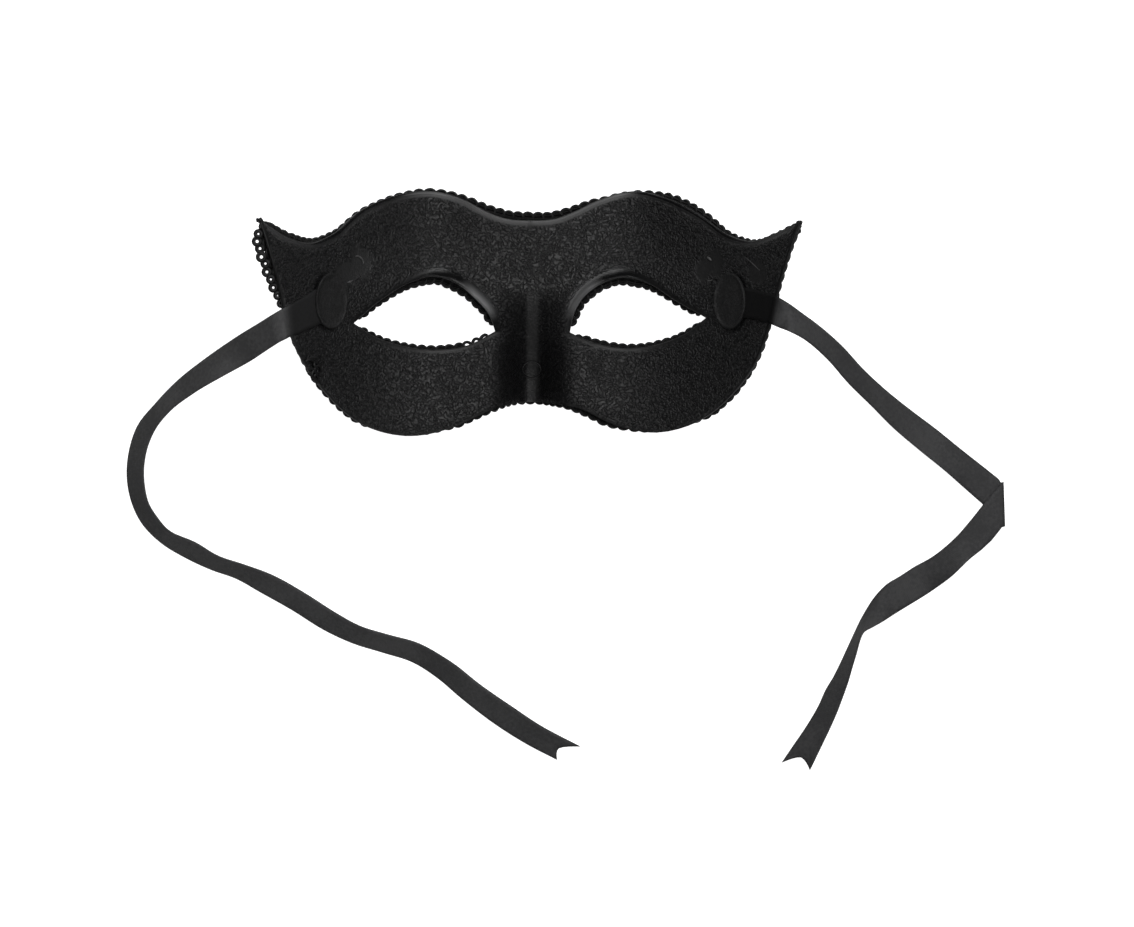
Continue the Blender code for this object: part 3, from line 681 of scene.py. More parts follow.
def read_shell():
    """The inner face's corners, the wall, the outer loop, and each half's spokes in plan."""
    net = bmesh.new()
    net.from_mesh(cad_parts["mask_shell"].data)
    bmesh.ops.remove_doubles(net, verts=net.verts, dist=WELD)
    net.verts.index_update()
    sharp = sharp_edges(net)
    region = inner_region(net, sharp)
    neighbours = {}
    for face in region:
        for edge in face.edges:
            one, other = (corner.index for corner in edge.verts)
            neighbours.setdefault(one, set()).add(other)
            neighbours.setdefault(other, set()).add(one)
    places = np.array([corner.co for corner in net.verts])
    rim_neighbours = {}
    for edge in sharp:
        if len(set(edge.link_faces) & region) == 1:
            one, other = (corner.index for corner in edge.verts)
            rim_neighbours.setdefault(one, set()).add(other)
            rim_neighbours.setdefault(other, set()).add(one)
    left, loops = set(rim_neighbours), []
    while left:
        loop, waiting = set(), [min(left)]
        while waiting:
            corner = waiting.pop()
            if corner not in loop:
                loop.add(corner)
                waiting.extend(rim_neighbours[corner])
        left -= loop
        loops.append(counterclockwise(walk(loop, rim_neighbours), places))
    loops.sort(key=len)
    loops.pop()
    halves = {}
    for loop in loops:
        ring, seen = loop, set(loop)
        while True:
            layer = {far for near in ring for far in neighbours[near]} - seen
            if len(layer) != len(loop):
                break
            seen |= layer
            ring = next_ring(ring, layer, places, neighbours)
        side = -1 if places[loop, 0].mean() < 0 else 1
        halves[side] = (places[loop], places[ring])
    rim = np.vstack([outer_part(halves[side][1]) for side in (1, -1)])
    front = [corner.co for corner in net.verts if corner.index not in neighbours]
    wall = np.linalg.norm(np.array(front)[None] - rim[:, None], axis=2).min(1).mean()
    face_corners = places[sorted(neighbours)]
    net.free()
    return face_corners, wall, rim, halves


# Making meshes


def add_object(name, data):
    item = bpy.data.objects.new(name, data)
    bpy.context.scene.collection.objects.link(item)
    return item


def new_piece(name, points, faces, material, smooth=True):
    mesh = bpy.data.meshes.new(name)
    mesh.from_pydata([tuple(point) for point in points], [], [tuple(f) for f in faces])
    mesh.update()
    if smooth:
        mesh.shade_smooth()
    mesh.materials.append(material)
    return add_object(name, mesh)


def point_attribute(mesh, name, values):
    """A number for each corner of a mesh."""
    attribute = mesh.attributes.new(name, "FLOAT", "POINT")
    attribute.data.foreach_set("value", np.asarray(values, dtype=np.float32))


def clean(mesh, weld=None):
    """Merge a mesh's doubled corners, if asked to, and turn its faces outwards."""
    net = bmesh.new()
    net.from_mesh(mesh)
    if weld:
        bmesh.ops.remove_doubles(net, verts=net.verts, dist=weld)
    bmesh.ops.recalc_face_normals(net, faces=net.faces)
    net.to_mesh(mesh)
    net.free()


def strip_faces(rows, columns, close_rows=False, close_columns=False, flip=False, first=0):
    """Quads of a net of points that are listed row by row."""
    faces = []
    for row in range(rows if close_rows else rows - 1):
        here, after = first + row * columns, first + (row + 1) % rows * columns
        for column in range(columns if close_columns else columns - 1):
            side = (column + 1) % columns
            face = (here + column, after + column, after + side, here + side)
            faces.append(face[::-1] if flip else face)
    return faces


def as_mesh(item, name):
    """An object's finished mesh as a new plain piece; the object itself goes."""
    graph = bpy.context.evaluated_depsgraph_get()
    mesh = bpy.data.meshes.new_from_object(item.evaluated_get(graph), depsgraph=graph)
    bpy.data.objects.remove(item, do_unlink=True)
    mesh.name = name
    return add_object(name, mesh)


def settle(piece, node=None):
    """Attach a piece to the root body, and hide the frame's node that it stands for, if any."""
    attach(piece, "root")
    if node:
        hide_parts(node)


# Shader groups and materials


def new_group(name, inputs, outputs):
    """A shader node group with float, colour or vector sockets: (name, kind, value)."""
    group = bpy.data.node_groups.new(name, "ShaderNodeTree")
    for label, kind, value in inputs:
        socket = group.interface.new_socket(label, in_out="INPUT", socket_type="NodeSocket" + kind)
        if value is not None:
            socket.default_value = value
    for label, kind in outputs:
        group.interface.new_socket(label, in_out="OUTPUT", socket_type="NodeSocket" + kind)
    return group, group.nodes.new("NodeGroupInput"), group.nodes.new("NodeGroupOutput")


class Wiring:
    """Short calls that add nodes to a tree and link them."""

    def __init__(self, tree):
        self.tree = tree

    def node(self, kind, settings=(), **inputs):
        made = self.tree.nodes.new(kind)
        for name, value in dict(settings).items():
            setattr(made, name, value)
        for name, value in inputs.items():
            self.feed(made.inputs[name.replace("_", " ")], value)
        return made

    def feed(self, socket, value):
        if isinstance(value, bpy.types.NodeSocket):
            self.tree.links.new(value, socket)
        else:
            socket.default_value = value

    def math(self, operation, *values):
        made = self.tree.nodes.new("ShaderNodeMath")
        made.operation = operation
        for socket, value in zip(made.inputs, values):
            self.feed(socket, value)
        return made.outputs[0]

    def between(self, value, low, high, to_low=0.0, to_high=1.0, smooth=True):
        made = self.tree.nodes.new("ShaderNodeMapRange")
        made.interpolation_type = "SMOOTHSTEP" if smooth else "LINEAR"
        for name, given in (
            ("Value", value),
            ("From Min", low),
            ("From Max", high),
            ("To Min", to_low),
            ("To Max", to_high),
        ):
            self.feed(made.inputs[name], given)
        return made.outputs["Result"]

    def mix_colour(self, share, one, other):
        made = self.tree.nodes.new("ShaderNodeMix")
        made.data_type = "RGBA"
        self.feed(made.inputs["Factor"], share)
        self.feed(made.inputs[6], one)
        self.feed(made.inputs[7], other)
        return made.outputs[2]

    def vector(self, operation, *values, scale=None):
        made = self.tree.nodes.new("ShaderNodeVectorMath")
        made.operation = operation
        for socket, value in zip(made.inputs, values):
            self.feed(socket, value)
        if scale is not None:
            self.feed(made.inputs["Scale"], scale)
        return made.outputs["Value" if operation == "LENGTH" else "Vector"]

    def noise(self, place, scale, detail, roughness=0.5):
        made = self.node("ShaderNodeTexNoise", Vector=place, Scale=scale, Detail=detail)
        made.inputs["Roughness"].default_value = roughness
        return made.outputs["Fac"]

    def apart(self, value, middle):
        return self.math("ABSOLUTE", self.math("SUBTRACT", value, middle))

    def bump(self, shader, height, strength, distance):
        made = self.node("ShaderNodeBump", Strength=strength, Distance=distance, Height=height)
        self.feed(shader.inputs["Normal"], made.outputs["Normal"])

    def attribute(self, name, output="Fac"):
        """A painted attribute, for shaders."""
        made = self.tree.nodes.new("ShaderNodeAttribute")
        made.attribute_name = name
        return made.outputs[output]

    def named(self, name, kind="FLOAT_VECTOR"):
        """A named attribute, for geometry trees."""
        made = self.tree.nodes.new("GeometryNodeInputNamedAttribute")
        made.data_type = kind
        made.inputs["Name"].default_value = name
        return made.outputs["Attribute"]

    def place(self):
        return self.tree.nodes.new("ShaderNodeTexCoord").outputs["Object"]


def grain_group():
    """Leather-like emboss, 0 to 1 high: short crooked ridges between fine wrinkles."""
    group, given, put = new_group(
        "leather_grain",
        [("Scale", "Float", 900.0), ("Crookedness", "Float", 0.0011)],
        [("Height", "Float"), ("Fine", "Float")],
    )
    wire = Wiring(group)
    place, scale = wire.place(), given.outputs["Scale"]
    warp = wire.node("ShaderNodeTexNoise", Vector=place, Scale=420.0, Detail=2.0)
    shift = wire.vector("SCALE", warp.outputs["Color"], scale=given.outputs["Crookedness"])
    moved = wire.vector("ADD", place, shift)
    folds = wire.noise(moved, scale, 1.0, 0.4)
    creases = wire.noise(moved, wire.math("MULTIPLY", scale, 1.45), 0.0)
    fold = wire.between(wire.apart(folds, 0.5), 0.0, 0.15)
    crease = wire.between(wire.apart(creases, 0.46), 0.0, 0.11)
    height = wire.math("ADD", wire.math("MULTIPLY", fold, 0.7), wire.math("MULTIPLY", crease, 0.3))
    wire.feed(put.inputs["Height"], height)
    wire.feed(put.inputs["Fine"], wire.noise(place, 5200.0, 2.0))
    return group


def film_group():
    """A patch of clear glue film, 1 where it covers the grain, with a crooked outline."""
    group, given, put = new_group(
        "glue_film",
        [("Centre", "Vector", None), ("Radius", "Float", 0.003)],
        [("Cover", "Float")],
    )
    wire = Wiring(group)
    place = wire.place()
    length = wire.vector("LENGTH", wire.vector("SUBTRACT", place, given.outputs["Centre"]))
    bend = wire.math("SUBTRACT", wire.noise(place, 240.0, 2.0), 0.5)
    share = wire.math("DIVIDE", length, given.outputs["Radius"])
    share = wire.math("ADD", share, wire.math("MULTIPLY", bend, 1.1))
    wire.feed(put.inputs["Cover"], wire.between(share, 0.5, 1.15, 1.0, 0.0))
    return group


def new_material(name, colour, roughness):
    material = bpy.data.materials.new(name)
    material.use_nodes = True
    shader = material.node_tree.nodes["Principled BSDF"]
    shader.inputs["Base Color"].default_value = colour
    shader.inputs["Roughness"].default_value = roughness
    return material, Wiring(material.node_tree), shader


def place_group(wire, group, **inputs):
    made = wire.tree.nodes.new("ShaderNodeGroup")
    made.node_tree = group
    for name, value in inputs.items():
        wire.feed(made.inputs[name], value)
    return made


def oval_group():
    """Distance from an oval's middle in plan, 1 on its outline, and the share of it along x."""
    group, given, put = new_group(
        "oval_distance",
        [("Centre", "Vector", None), ("Half", "Vector", None)],
        [("Distance", "Float"), ("Side", "Float")],
    )
    wire = Wiring(group)
    away = wire.vector("SUBTRACT", wire.place(), given.outputs["Centre"])
    shaped = wire.vector("DIVIDE", away, given.outputs["Half"])
    flat = wire.vector("MULTIPLY", shaped, (1.0, 1.0, 0.0))
    wire.feed(put.inputs["Distance"], wire.vector("LENGTH", flat))
    parts = wire.node("ShaderNodeSeparateXYZ", Vector=flat)
    wire.feed(put.inputs["Side"], parts.outputs["X"])
    return group


def moulded_plastic(grain, film, oval, face, patches):
    """The shell: satin black, grained on the wearer's side, smooth at rims, nose and front."""
    material, wire, shader = new_material("moulded_plastic", PLASTIC_BLACK, 0.42)
    emboss = place_group(wire, grain, Scale=820.0).outputs
    clear = 1.0
    for x, y, radius in GLUE_FILMS:
        spot = tuple(on_shell(face, x, y) * MM)
        cover = place_group(wire, film, Centre=spot, Radius=radius * MM).outputs["Cover"]
        clear = wire.math("SUBTRACT", clear, cover)
    clear = wire.math("MAXIMUM", clear, 0.15)
    rough_side = wire.math("MULTIPLY", wire.attribute("grained"), clear)
    height = wire.math("MULTIPLY", emboss["Height"], rough_side)
    height = wire.math("ADD", height, wire.math("MULTIPLY", emboss["Fine"], 0.10))
    # The groove round the mould's mark
    mark_x, mark_y, half_x, half_y = MOULD_MARK
    spot = tuple(on_shell(face, mark_x, mark_y) * MM)
    half = (half_x * MM, half_y * MM, 1.0)
    round_mark = place_group(wire, oval, Centre=spot, Half=half).outputs["Distance"]
    ring = wire.between(wire.apart(round_mark, 1.12), 0.03, 0.12, 1.0, 0.0)
    wire.bump(shader, wire.math("SUBTRACT", height, ring), 1.0, 0.00028)
    # Rougher under glue, in the strip and in the groove, and smoother at the rims
    rough = wire.between(wire.noise(wire.place(), 60.0, 3.0), 0.3, 0.7, 0.37, 0.45)
    for share, added in (
        (wire.math("SUBTRACT", 1.0, clear), 0.12),
        (wire.attribute("strip"), 0.2),
        (ring, 0.5),
        (wire.attribute("rim"), -0.18),
    ):
        rough = wire.math("ADD", rough, wire.math("MULTIPLY", share, added))
    wire.feed(shader.inputs["Roughness"], rough)
    # Painted shade as less gloss: in the grain's valleys, on the nose's flanks, and as the patches'
    # painted shadow beside them
    valley = wire.math("MULTIPLY", wire.math("SUBTRACT", 1.0, emboss["Height"]), rough_side)
    gloss = wire.math("SUBTRACT", 0.40, wire.math("MULTIPLY", valley, 0.3))
    dull = wire.math("MULTIPLY", wire.attribute("flank"), 0.7)
    for centre, (half_x, half_y, _), turned in patches:
        shadow = place_group(wire, oval, Centre=tuple(centre), Half=(half_x, half_y, 1.0)).outputs
        side = wire.between(wire.math("MULTIPLY", shadow["Side"], turned), -0.2, 0.7)
        close = wire.between(shadow["Distance"], 1.06, 1.16, 0.8, 0.0)
        dull = wire.math("MAXIMUM", dull, wire.math("MULTIPLY", close, side))
    gloss = wire.math("MULTIPLY", gloss, wire.math("SUBTRACT", 1.0, dull))
    wire.feed(shader.inputs["Specular IOR Level"], gloss)
    # Painted highlight: lighter plastic where the eye rims catch the light, from the attribute
    # white
    colour = wire.mix_colour(wire.attribute("white"), PLASTIC_BLACK, PLASTIC_PAINTED_HIGHLIGHT)
    wire.feed(shader.inputs["Base Color"], colour)
    return material


def gimp_thread():
    """The braid's cords: black thread wound round a core, with a little lustre."""
    material, wire, shader = new_material("gimp_thread", THREAD_BLACK, 0.45)
    parts = wire.node("ShaderNodeSeparateXYZ", Vector=wire.attribute("cord_place", "Vector"))
    turns = wire.math("MULTIPLY", parts.outputs["X"], math.tau * THREAD_TURNS)
    height = wire.math("ADD", wire.math("SINE", turns), wire.noise(wire.place(), 3000.0, 2.0))
    wire.bump(shader, height, 0.6, 0.00005)
    shader.inputs["Specular IOR Level"].default_value = 0.25
    return material


def patch_felt(grain):
    """The oval patches: dull and lightly grained."""
    material, wire, shader = new_material("patch_felt", PATCH_BLACK, 0.6)
    emboss = place_group(wire, grain, Scale=1000.0).outputs
    height = wire.math("MULTIPLY", emboss["Height"], 0.8)
    height = wire.math("ADD", height, wire.math("MULTIPLY", emboss["Fine"], 0.5))
    wire.bump(shader, height, 0.8, 0.0002)
    mottle = wire.between(wire.noise(wire.place(), 380.0, 3.0), 0.35, 0.65)
    wire.feed(shader.inputs["Base Color"], wire.mix_colour(mottle, *PATCH_MOTTLE))
    wire.feed(shader.inputs["Roughness"], wire.between(mottle, 0.0, 1.0, 0.66, 0.52))
    shader.inputs["Specular IOR Level"].default_value = 0.3
    return material


def clear_glue():
    """Set glue: smooth and glossy over the black plastic."""
    material, wire, shader = new_material("clear_glue", GLUE_GREY, 0.3)
    wire.bump(shader, wire.noise(wire.place(), 1500.0, 1.0), 0.4, 0.0001)
    return material


def woven_satin():
    """The ribbons: charcoal satin with fine ribs across, and painted shade next to the patches."""
    material, wire, shader = new_material("woven_satin", SATIN_GREY, 0.5)
    uv = wire.node("ShaderNodeUVMap", {"uv_map": "ribbon"}).outputs["UV"]
    along = wire.node("ShaderNodeSeparateXYZ", Vector=uv).outputs["X"]
    ribs = wire.math("SINE", wire.math("MULTIPLY", along, math.tau / (RIB_PITCH * MM)))
    wire.bump(shader, ribs, 0.5, 0.00003)
    place = wire.place()
    across = wire.node("ShaderNodeSeparateXYZ", Vector=place).outputs["X"]
    left = wire.between(across, -0.05, 0.05, 1.0, 0.0)
    # Painted shade: darker and less glossy from the patch out, less so on the left ribbon
    start, end = (length * MM for length in PAINTED_SHADE_LENGTH)
    painted_shade = wire.between(along, start, end, 1.0, 0.0)
    painted_shade = wire.math("MULTIPLY", painted_shade, wire.between(left, 0.0, 1.0, 1.0, PAINTED_SHADE_LEFT))
    # Painted light: random tones stand in for the satin's uneven sheen, and the left ribbon is
    # lighter
    shade = wire.math("ADD", wire.noise(place, 900.0, 2.0), wire.noise(place, 70.0, 1.0))
    tones = [wire.mix_colour(left, *pair) for pair in SATIN_TONES]
    unshaded = wire.mix_colour(wire.between(shade, 0.7, 1.3), *tones)
    wire.feed(shader.inputs["Base Color"], wire.mix_colour(painted_shade, unshaded, SATIN_PAINTED_SHADE))
    gloss = wire.between(painted_shade, 0.0, 1.0, 0.06, 0.03, smooth=False)
    wire.feed(shader.inputs["Specular IOR Level"], gloss)
    return material


# The shell


def fine_loop(loop):
    """A loop in plan, smooth between its corners."""
    return smooth_rows(loop[:, :2], SPOKE_STEPS, corner_rows(loop))


def half_rings(length):
    """Where the rings cross a spoke of that length, as shares of it."""
    near = [distance * MM / length for distance in EYE_RINGS]
    far = [1.0 - distance * MM / length for distance in EDGE_RINGS]
    if near[-1] > far[0] - MIDDLE_SHARE:
        squeeze = (1.0 - MIDDLE_SHARE) / 2 / max(near[-1], 1.0 - far[0])
        near = [share * squeeze for share in near]
        far = [1.0 - (1.0 - share) * squeeze for share in far]
    between = np.linspace(near[-1], far[0], MIDDLE_STEPS + 1)[1:-1]
    return np.array([*near, *between, *far])


def quarter(distance, width, depth):
    """Depth of a rounded rim at a distance from its edge."""
    share = np.clip(1.0 - distance / (width * MM), 0.0, 1.0)
    return depth * MM * (1.0 - np.sqrt(1.0 - share**2))


def build_shell(face, wall, rim, halves, material):
    """The shell as fine nets round both eye holes, with a front face and rounded rims."""
    eyes = np.vstack([fine_loop(eye) for eye, _ in halves.values()])
    outer = fine_loop(rim)
    ahead = unit(np.roll(outer, -1, axis=0) - np.roll(outer, 1, axis=0))
    # How far each stretch of the outer edge faces the brows
    upward = smoothed((BROW_LEAN - ahead[:, 0]) / BROW_SPAN)
    points, faces, sides = [], [], []
    count = 0
    for eye, edge in halves.values():
        nears, fars = fine_loop(eye), fine_loop(edge)
        places = []
        for near, far in zip(nears, fars):
            shares = half_rings(np.linalg.norm(far - near))[:, None]
            places.append(near + (far - near) * shares)
        spokes, rings = len(places), len(places[0])
        places = np.concatenate(places)
        to_edge, row = nearest(places, outer)
        to_eye = distance_to(places, eyes)
        to_rim = np.minimum(to_eye, to_edge)
        normal = face.normals(places)
        base = face.points(places)
        groove = smoothed(1.0 - np.abs(to_edge / MM - GROOVE_PLACE) / GROOVE_WIDTH)
        level = at_least(LOW_RIM_SHARE, upward[row])
        drop = RIM_DEPTH * MM * np.clip(1.0 - to_edge / (RIM_WIDTH * MM), 0.0, 1.0)
        drop = (drop + quarter(to_edge, RIM_ROUND, RIM_ROUND)) * level
        drop = np.maximum(drop, quarter(to_eye, EYE_RIM_WIDTH, EYE_RIM_DEPTH))
        drop += GROOVE_DEPTH * MM * groove * upward[row]
        inner = base - normal * drop[:, None]
        rise = quarter(to_rim, FRONT_RIM_WIDTH, FRONT_RIM_DEPTH)
        front = base - normal * (wall - rise)[:, None]
        points += [inner, front]
        sides += [np.ones(len(inner)), np.zeros(len(front))]
        top, low = count, count + len(inner)
        count += 2 * len(inner)
        faces += strip_faces(spokes, rings, close_rows=True, first=top)
        faces += strip_faces(spokes, rings, close_rows=True, flip=True, first=low)
        centre = np.abs(fars[:, 0]) < 2 * WELD
        for row in range(spokes):
            one, other = row * rings, (row + 1) % spokes * rings
            faces.append((top + one, low + one, low + other, top + other))
            if not (centre[row] and centre[(row + 1) % spokes]):
                one, other = one + rings - 1, other + rings - 1
                faces.append((top + one, top + other, low + other, low + one))
    points = np.concatenate(points)
    piece = new_piece("mask_shell_moulded", points, faces, material)
    mark_shell(piece.data, face, points[:, :2], np.concatenate(sides), outer, eyes, upward)
    clean(piece.data, 2 * WELD)
    return piece


def margin(distance, extra, widths):
    """0 on a bare margin and 1 beyond it."""
    width, added, fade = widths
    return np.clip((distance - width - added * extra) / fade, 0.0, 1.0)


def mark_shell(mesh, face, places, wearer, outer, eyes, upward):
    """Where the shell is grained, glossy at rims and smooth at the nose, and its painted highlight
    and shade.
    """
    _, part, white = face.rim_roll(places)
    to_edge, row = nearest(places, outer)
    to_eye, to_edge, top = distance_to(places, eyes) / MM, to_edge / MM, upward[row]
    strip_x, strip_half, strip_low, strip_high = NOSE_STRIP
    x, y = places.T / MM
    off_strip = np.abs(x - strip_x) - strip_half
    off_ends = np.maximum(strip_low - y, y - strip_high)
    within = smoothed(1.0 - off_ends / STRIP_END_FADE)
    strip = smoothed(1.0 - off_strip / STRIP_FADE) * within
    flank = smoothed(off_strip / STRIP_FADE) * smoothed((FLANK_REACH - off_strip) / FLANK_FADE)
    grained = margin(to_eye, part, EYE_MARGIN) * margin(to_edge, top, EDGE_MARGIN)
    at_edge = np.clip(EDGE_GLOSS - to_edge, 0, 1) * at_least(LOW_GLOSS_SHARE, top)
    at_eye = np.clip(EYE_GLOSS - to_eye, 0, 1) * part
    for name, values in (
        ("grained", grained * (1.0 - STRIP_SMOOTH * strip)),
        ("rim", np.maximum(at_edge, at_eye)),
        ("strip", strip),
        # white holds the painted highlight
        ("white", white),
        # painted shade on the nose's flanks
        ("flank", flank * within),
    ):
        point_attribute(mesh, name, values * wearer)


# The braid


def free_width(line, places, directions, width):
    """How far each place may reach before it comes near another stretch of its line."""
    made = np.zeros(len(places))
    for share in TRIED_SHARES:
        length = width * share / TAKEN_SHARE
        clear = distance_to(places + directions * length, line) > CLEAR_SHARE * length
        unbroken = made >= width * (share - TRIED_SHARES[0])
        made = np.where(clear & unbroken, width * share, made)
    return np.maximum(made, LEAST_WIDTH * MM)


def even_loop(loop, step, corners):
    """A closed loop read at even steps of length."""
    fine = smooth_rows(loop[:, :2], 8, corners)
    closed = np.vstack((fine, fine[:1]))
    lengths = lengths_along(closed)
    count = round(lengths[-1] / step)
    at = np.arange(count) * lengths[-1] / count
    return np.column_stack([np.interp(at, lengths, closed[:, axis]) for axis in (0, 1)])


def band_reach(line, into, node, inward):
    """How far a braid reaches past its edge in the frame, and the outer one in the photograph."""
    corners = np.array([corner.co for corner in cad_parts[node].data.vertices])
    # Each stretch of the line goes by the band's corners that are nearest to it
    apart = corners[:, None, :2] - line[None]
    stretch = (apart**2).sum(2).argmin(1)
    out = -(apart[np.arange(len(corners)), stretch] * into[stretch]).sum(1)
    steps = (stretch[None] - np.arange(len(line))[:, None]) % len(line)
    near = np.minimum(steps, len(line) - steps) <= 2
    reach = np.where(near, np.clip(out, 0.0, BAND_REACH * MM)[None], 0.0).max(1)
    if inward > 0:
        keys = np.array([(*from_photo(x, y, SCALE_HEIGHT), shown) for x, y, shown in BRAID_SHOWN])
        rows = nearest(keys * MM, line)[1]
        order = rows.argsort()
        wanted = np.interp(np.arange(len(line)), rows[order], keys[order, 2] * MM, period=len(line))
        reach = np.minimum(reach + BAND_SPARE * MM, wanted)
    return reach


def new_guide(name, middle, loose, **vectors):
    """A closed line of points that carries the vectors and values the braid's tree asks for."""
    mesh = bpy.data.meshes.new(name)
    count = len(middle)
    edges = [(row, (row + 1) % count) for row in range(count)]
    mesh.from_pydata([tuple(point) for point in middle], edges, [])
    for label, values in vectors.items():
        attribute = mesh.attributes.new(label, "FLOAT_VECTOR", "POINT")
        attribute.data.foreach_set("vector", values.astype(np.float32).ravel())
    point_attribute(mesh, "open", loose)
    return add_object(name, mesh)


def braid_guide(name, face, bare, wall, loop, node, inward):
    """A line of points along the middle of a braid, each with its reach to both sides."""
    line = even_loop(loop, GUIDE_STEP * MM, corner_rows(loop))
    ahead = unit(np.roll(line, -2, axis=0) - np.roll(line, 2, axis=0))
    into = np.column_stack((-ahead[:, 1], ahead[:, 0])) * inward
    reach = band_reach(line, into, node, inward)
    tips = loop[list(corner_rows(loop))]
    tip_fade = rising(distance_to(line, tips) / MM, TIP_CLEAR, TIP_FADE)
    reach *= tip_fade
    # The reach is evened out over five points
    kernel = np.ones(5) / 5
    reach = np.convolve(np.concatenate((reach[-2:], reach, reach[:2])), kernel, "valid")
    slope = np.abs((bare.height(line + into * MM) - bare.height(line)) / MM)
    band = BRAID_BAND * MM / np.sqrt(1 + slope**2)
    free = free_width(line, line, into, BRAID_BAND * MM)
    inner = np.minimum(free, band - np.minimum(reach, SHOWN_SHARE * band))
    # At a wing's tip the cords run out inside the wall
    depth = -(wall / 2 + tip_fade * (wall / 2 + (BRAID_GAP + CORD_RADIUS) * MM))[:, None]
    lead = np.minimum(TIP_LEAD * MM * (1.0 - tip_fade), TIP_LEAD_SHARE * free)
    start = line + into * lead[:, None]
    normal = bare.normals(start)
    edge = bare.points(start) + normal * depth
    inside = bare.offset(start + into * inner[:, None], depth)
    outward = edge - bare.offset(start + into * 0.5 * MM, depth)
    # Loops that lie open spread level
    spots = np.array([(*from_photo(x, y, SCALE_HEIGHT), radius) for x, y, radius in OPEN_LOOPS])
    apart = np.linalg.norm(line[:, None] / MM - spots[None, :, :2], axis=2)
    loose = np.clip((spots[:, 2] - apart) / OPEN_FADE, 0.0, 1.0).max(1)
    outward[:, 2] *= 1.0 - OPEN_LEVEL * loose
    outward = unit(outward)
    # Reach left once the offset to the front has moved the line outwards
    moved = -((edge[:, :2] - line) * into).sum(1)
    level = np.maximum(-(outward[:, :2] * into).sum(1), LEAST_LEVEL)
    further = (reach - CORD_RADIUS * MM - moved) / level
    further = np.clip(further, DEEPEST_REACH * MM, LONGEST_REACH * MM)
    further = np.maximum(further - TIP_BACK * MM * (1.0 - tip_fade), -BACK_SHARE * inner)
    outside = edge + outward * further[:, None]
    share = np.clip((inner - further) / 2 / np.maximum(inner, WELD), 0.0, 1.0)
    middle = bare.offset(start + into * (inner * share)[:, None], depth)
    past = further > inner
    middle[past] = (edge + outward * ((further - inner) / 2)[:, None])[past]
    drop = face.rim_roll(line)[0] * ROLL_FOLLOWED
    for row in (middle, inside, outside):
        row[:, 2] -= drop
    to_outer, to_inner = outside - middle, inside - middle
    guide = new_guide(name, middle, loose, to_outer=to_outer, to_inner=to_inner, front=-normal)
    return guide, np.linalg.norm(np.roll(middle, -1, axis=0) - middle, axis=1).sum()


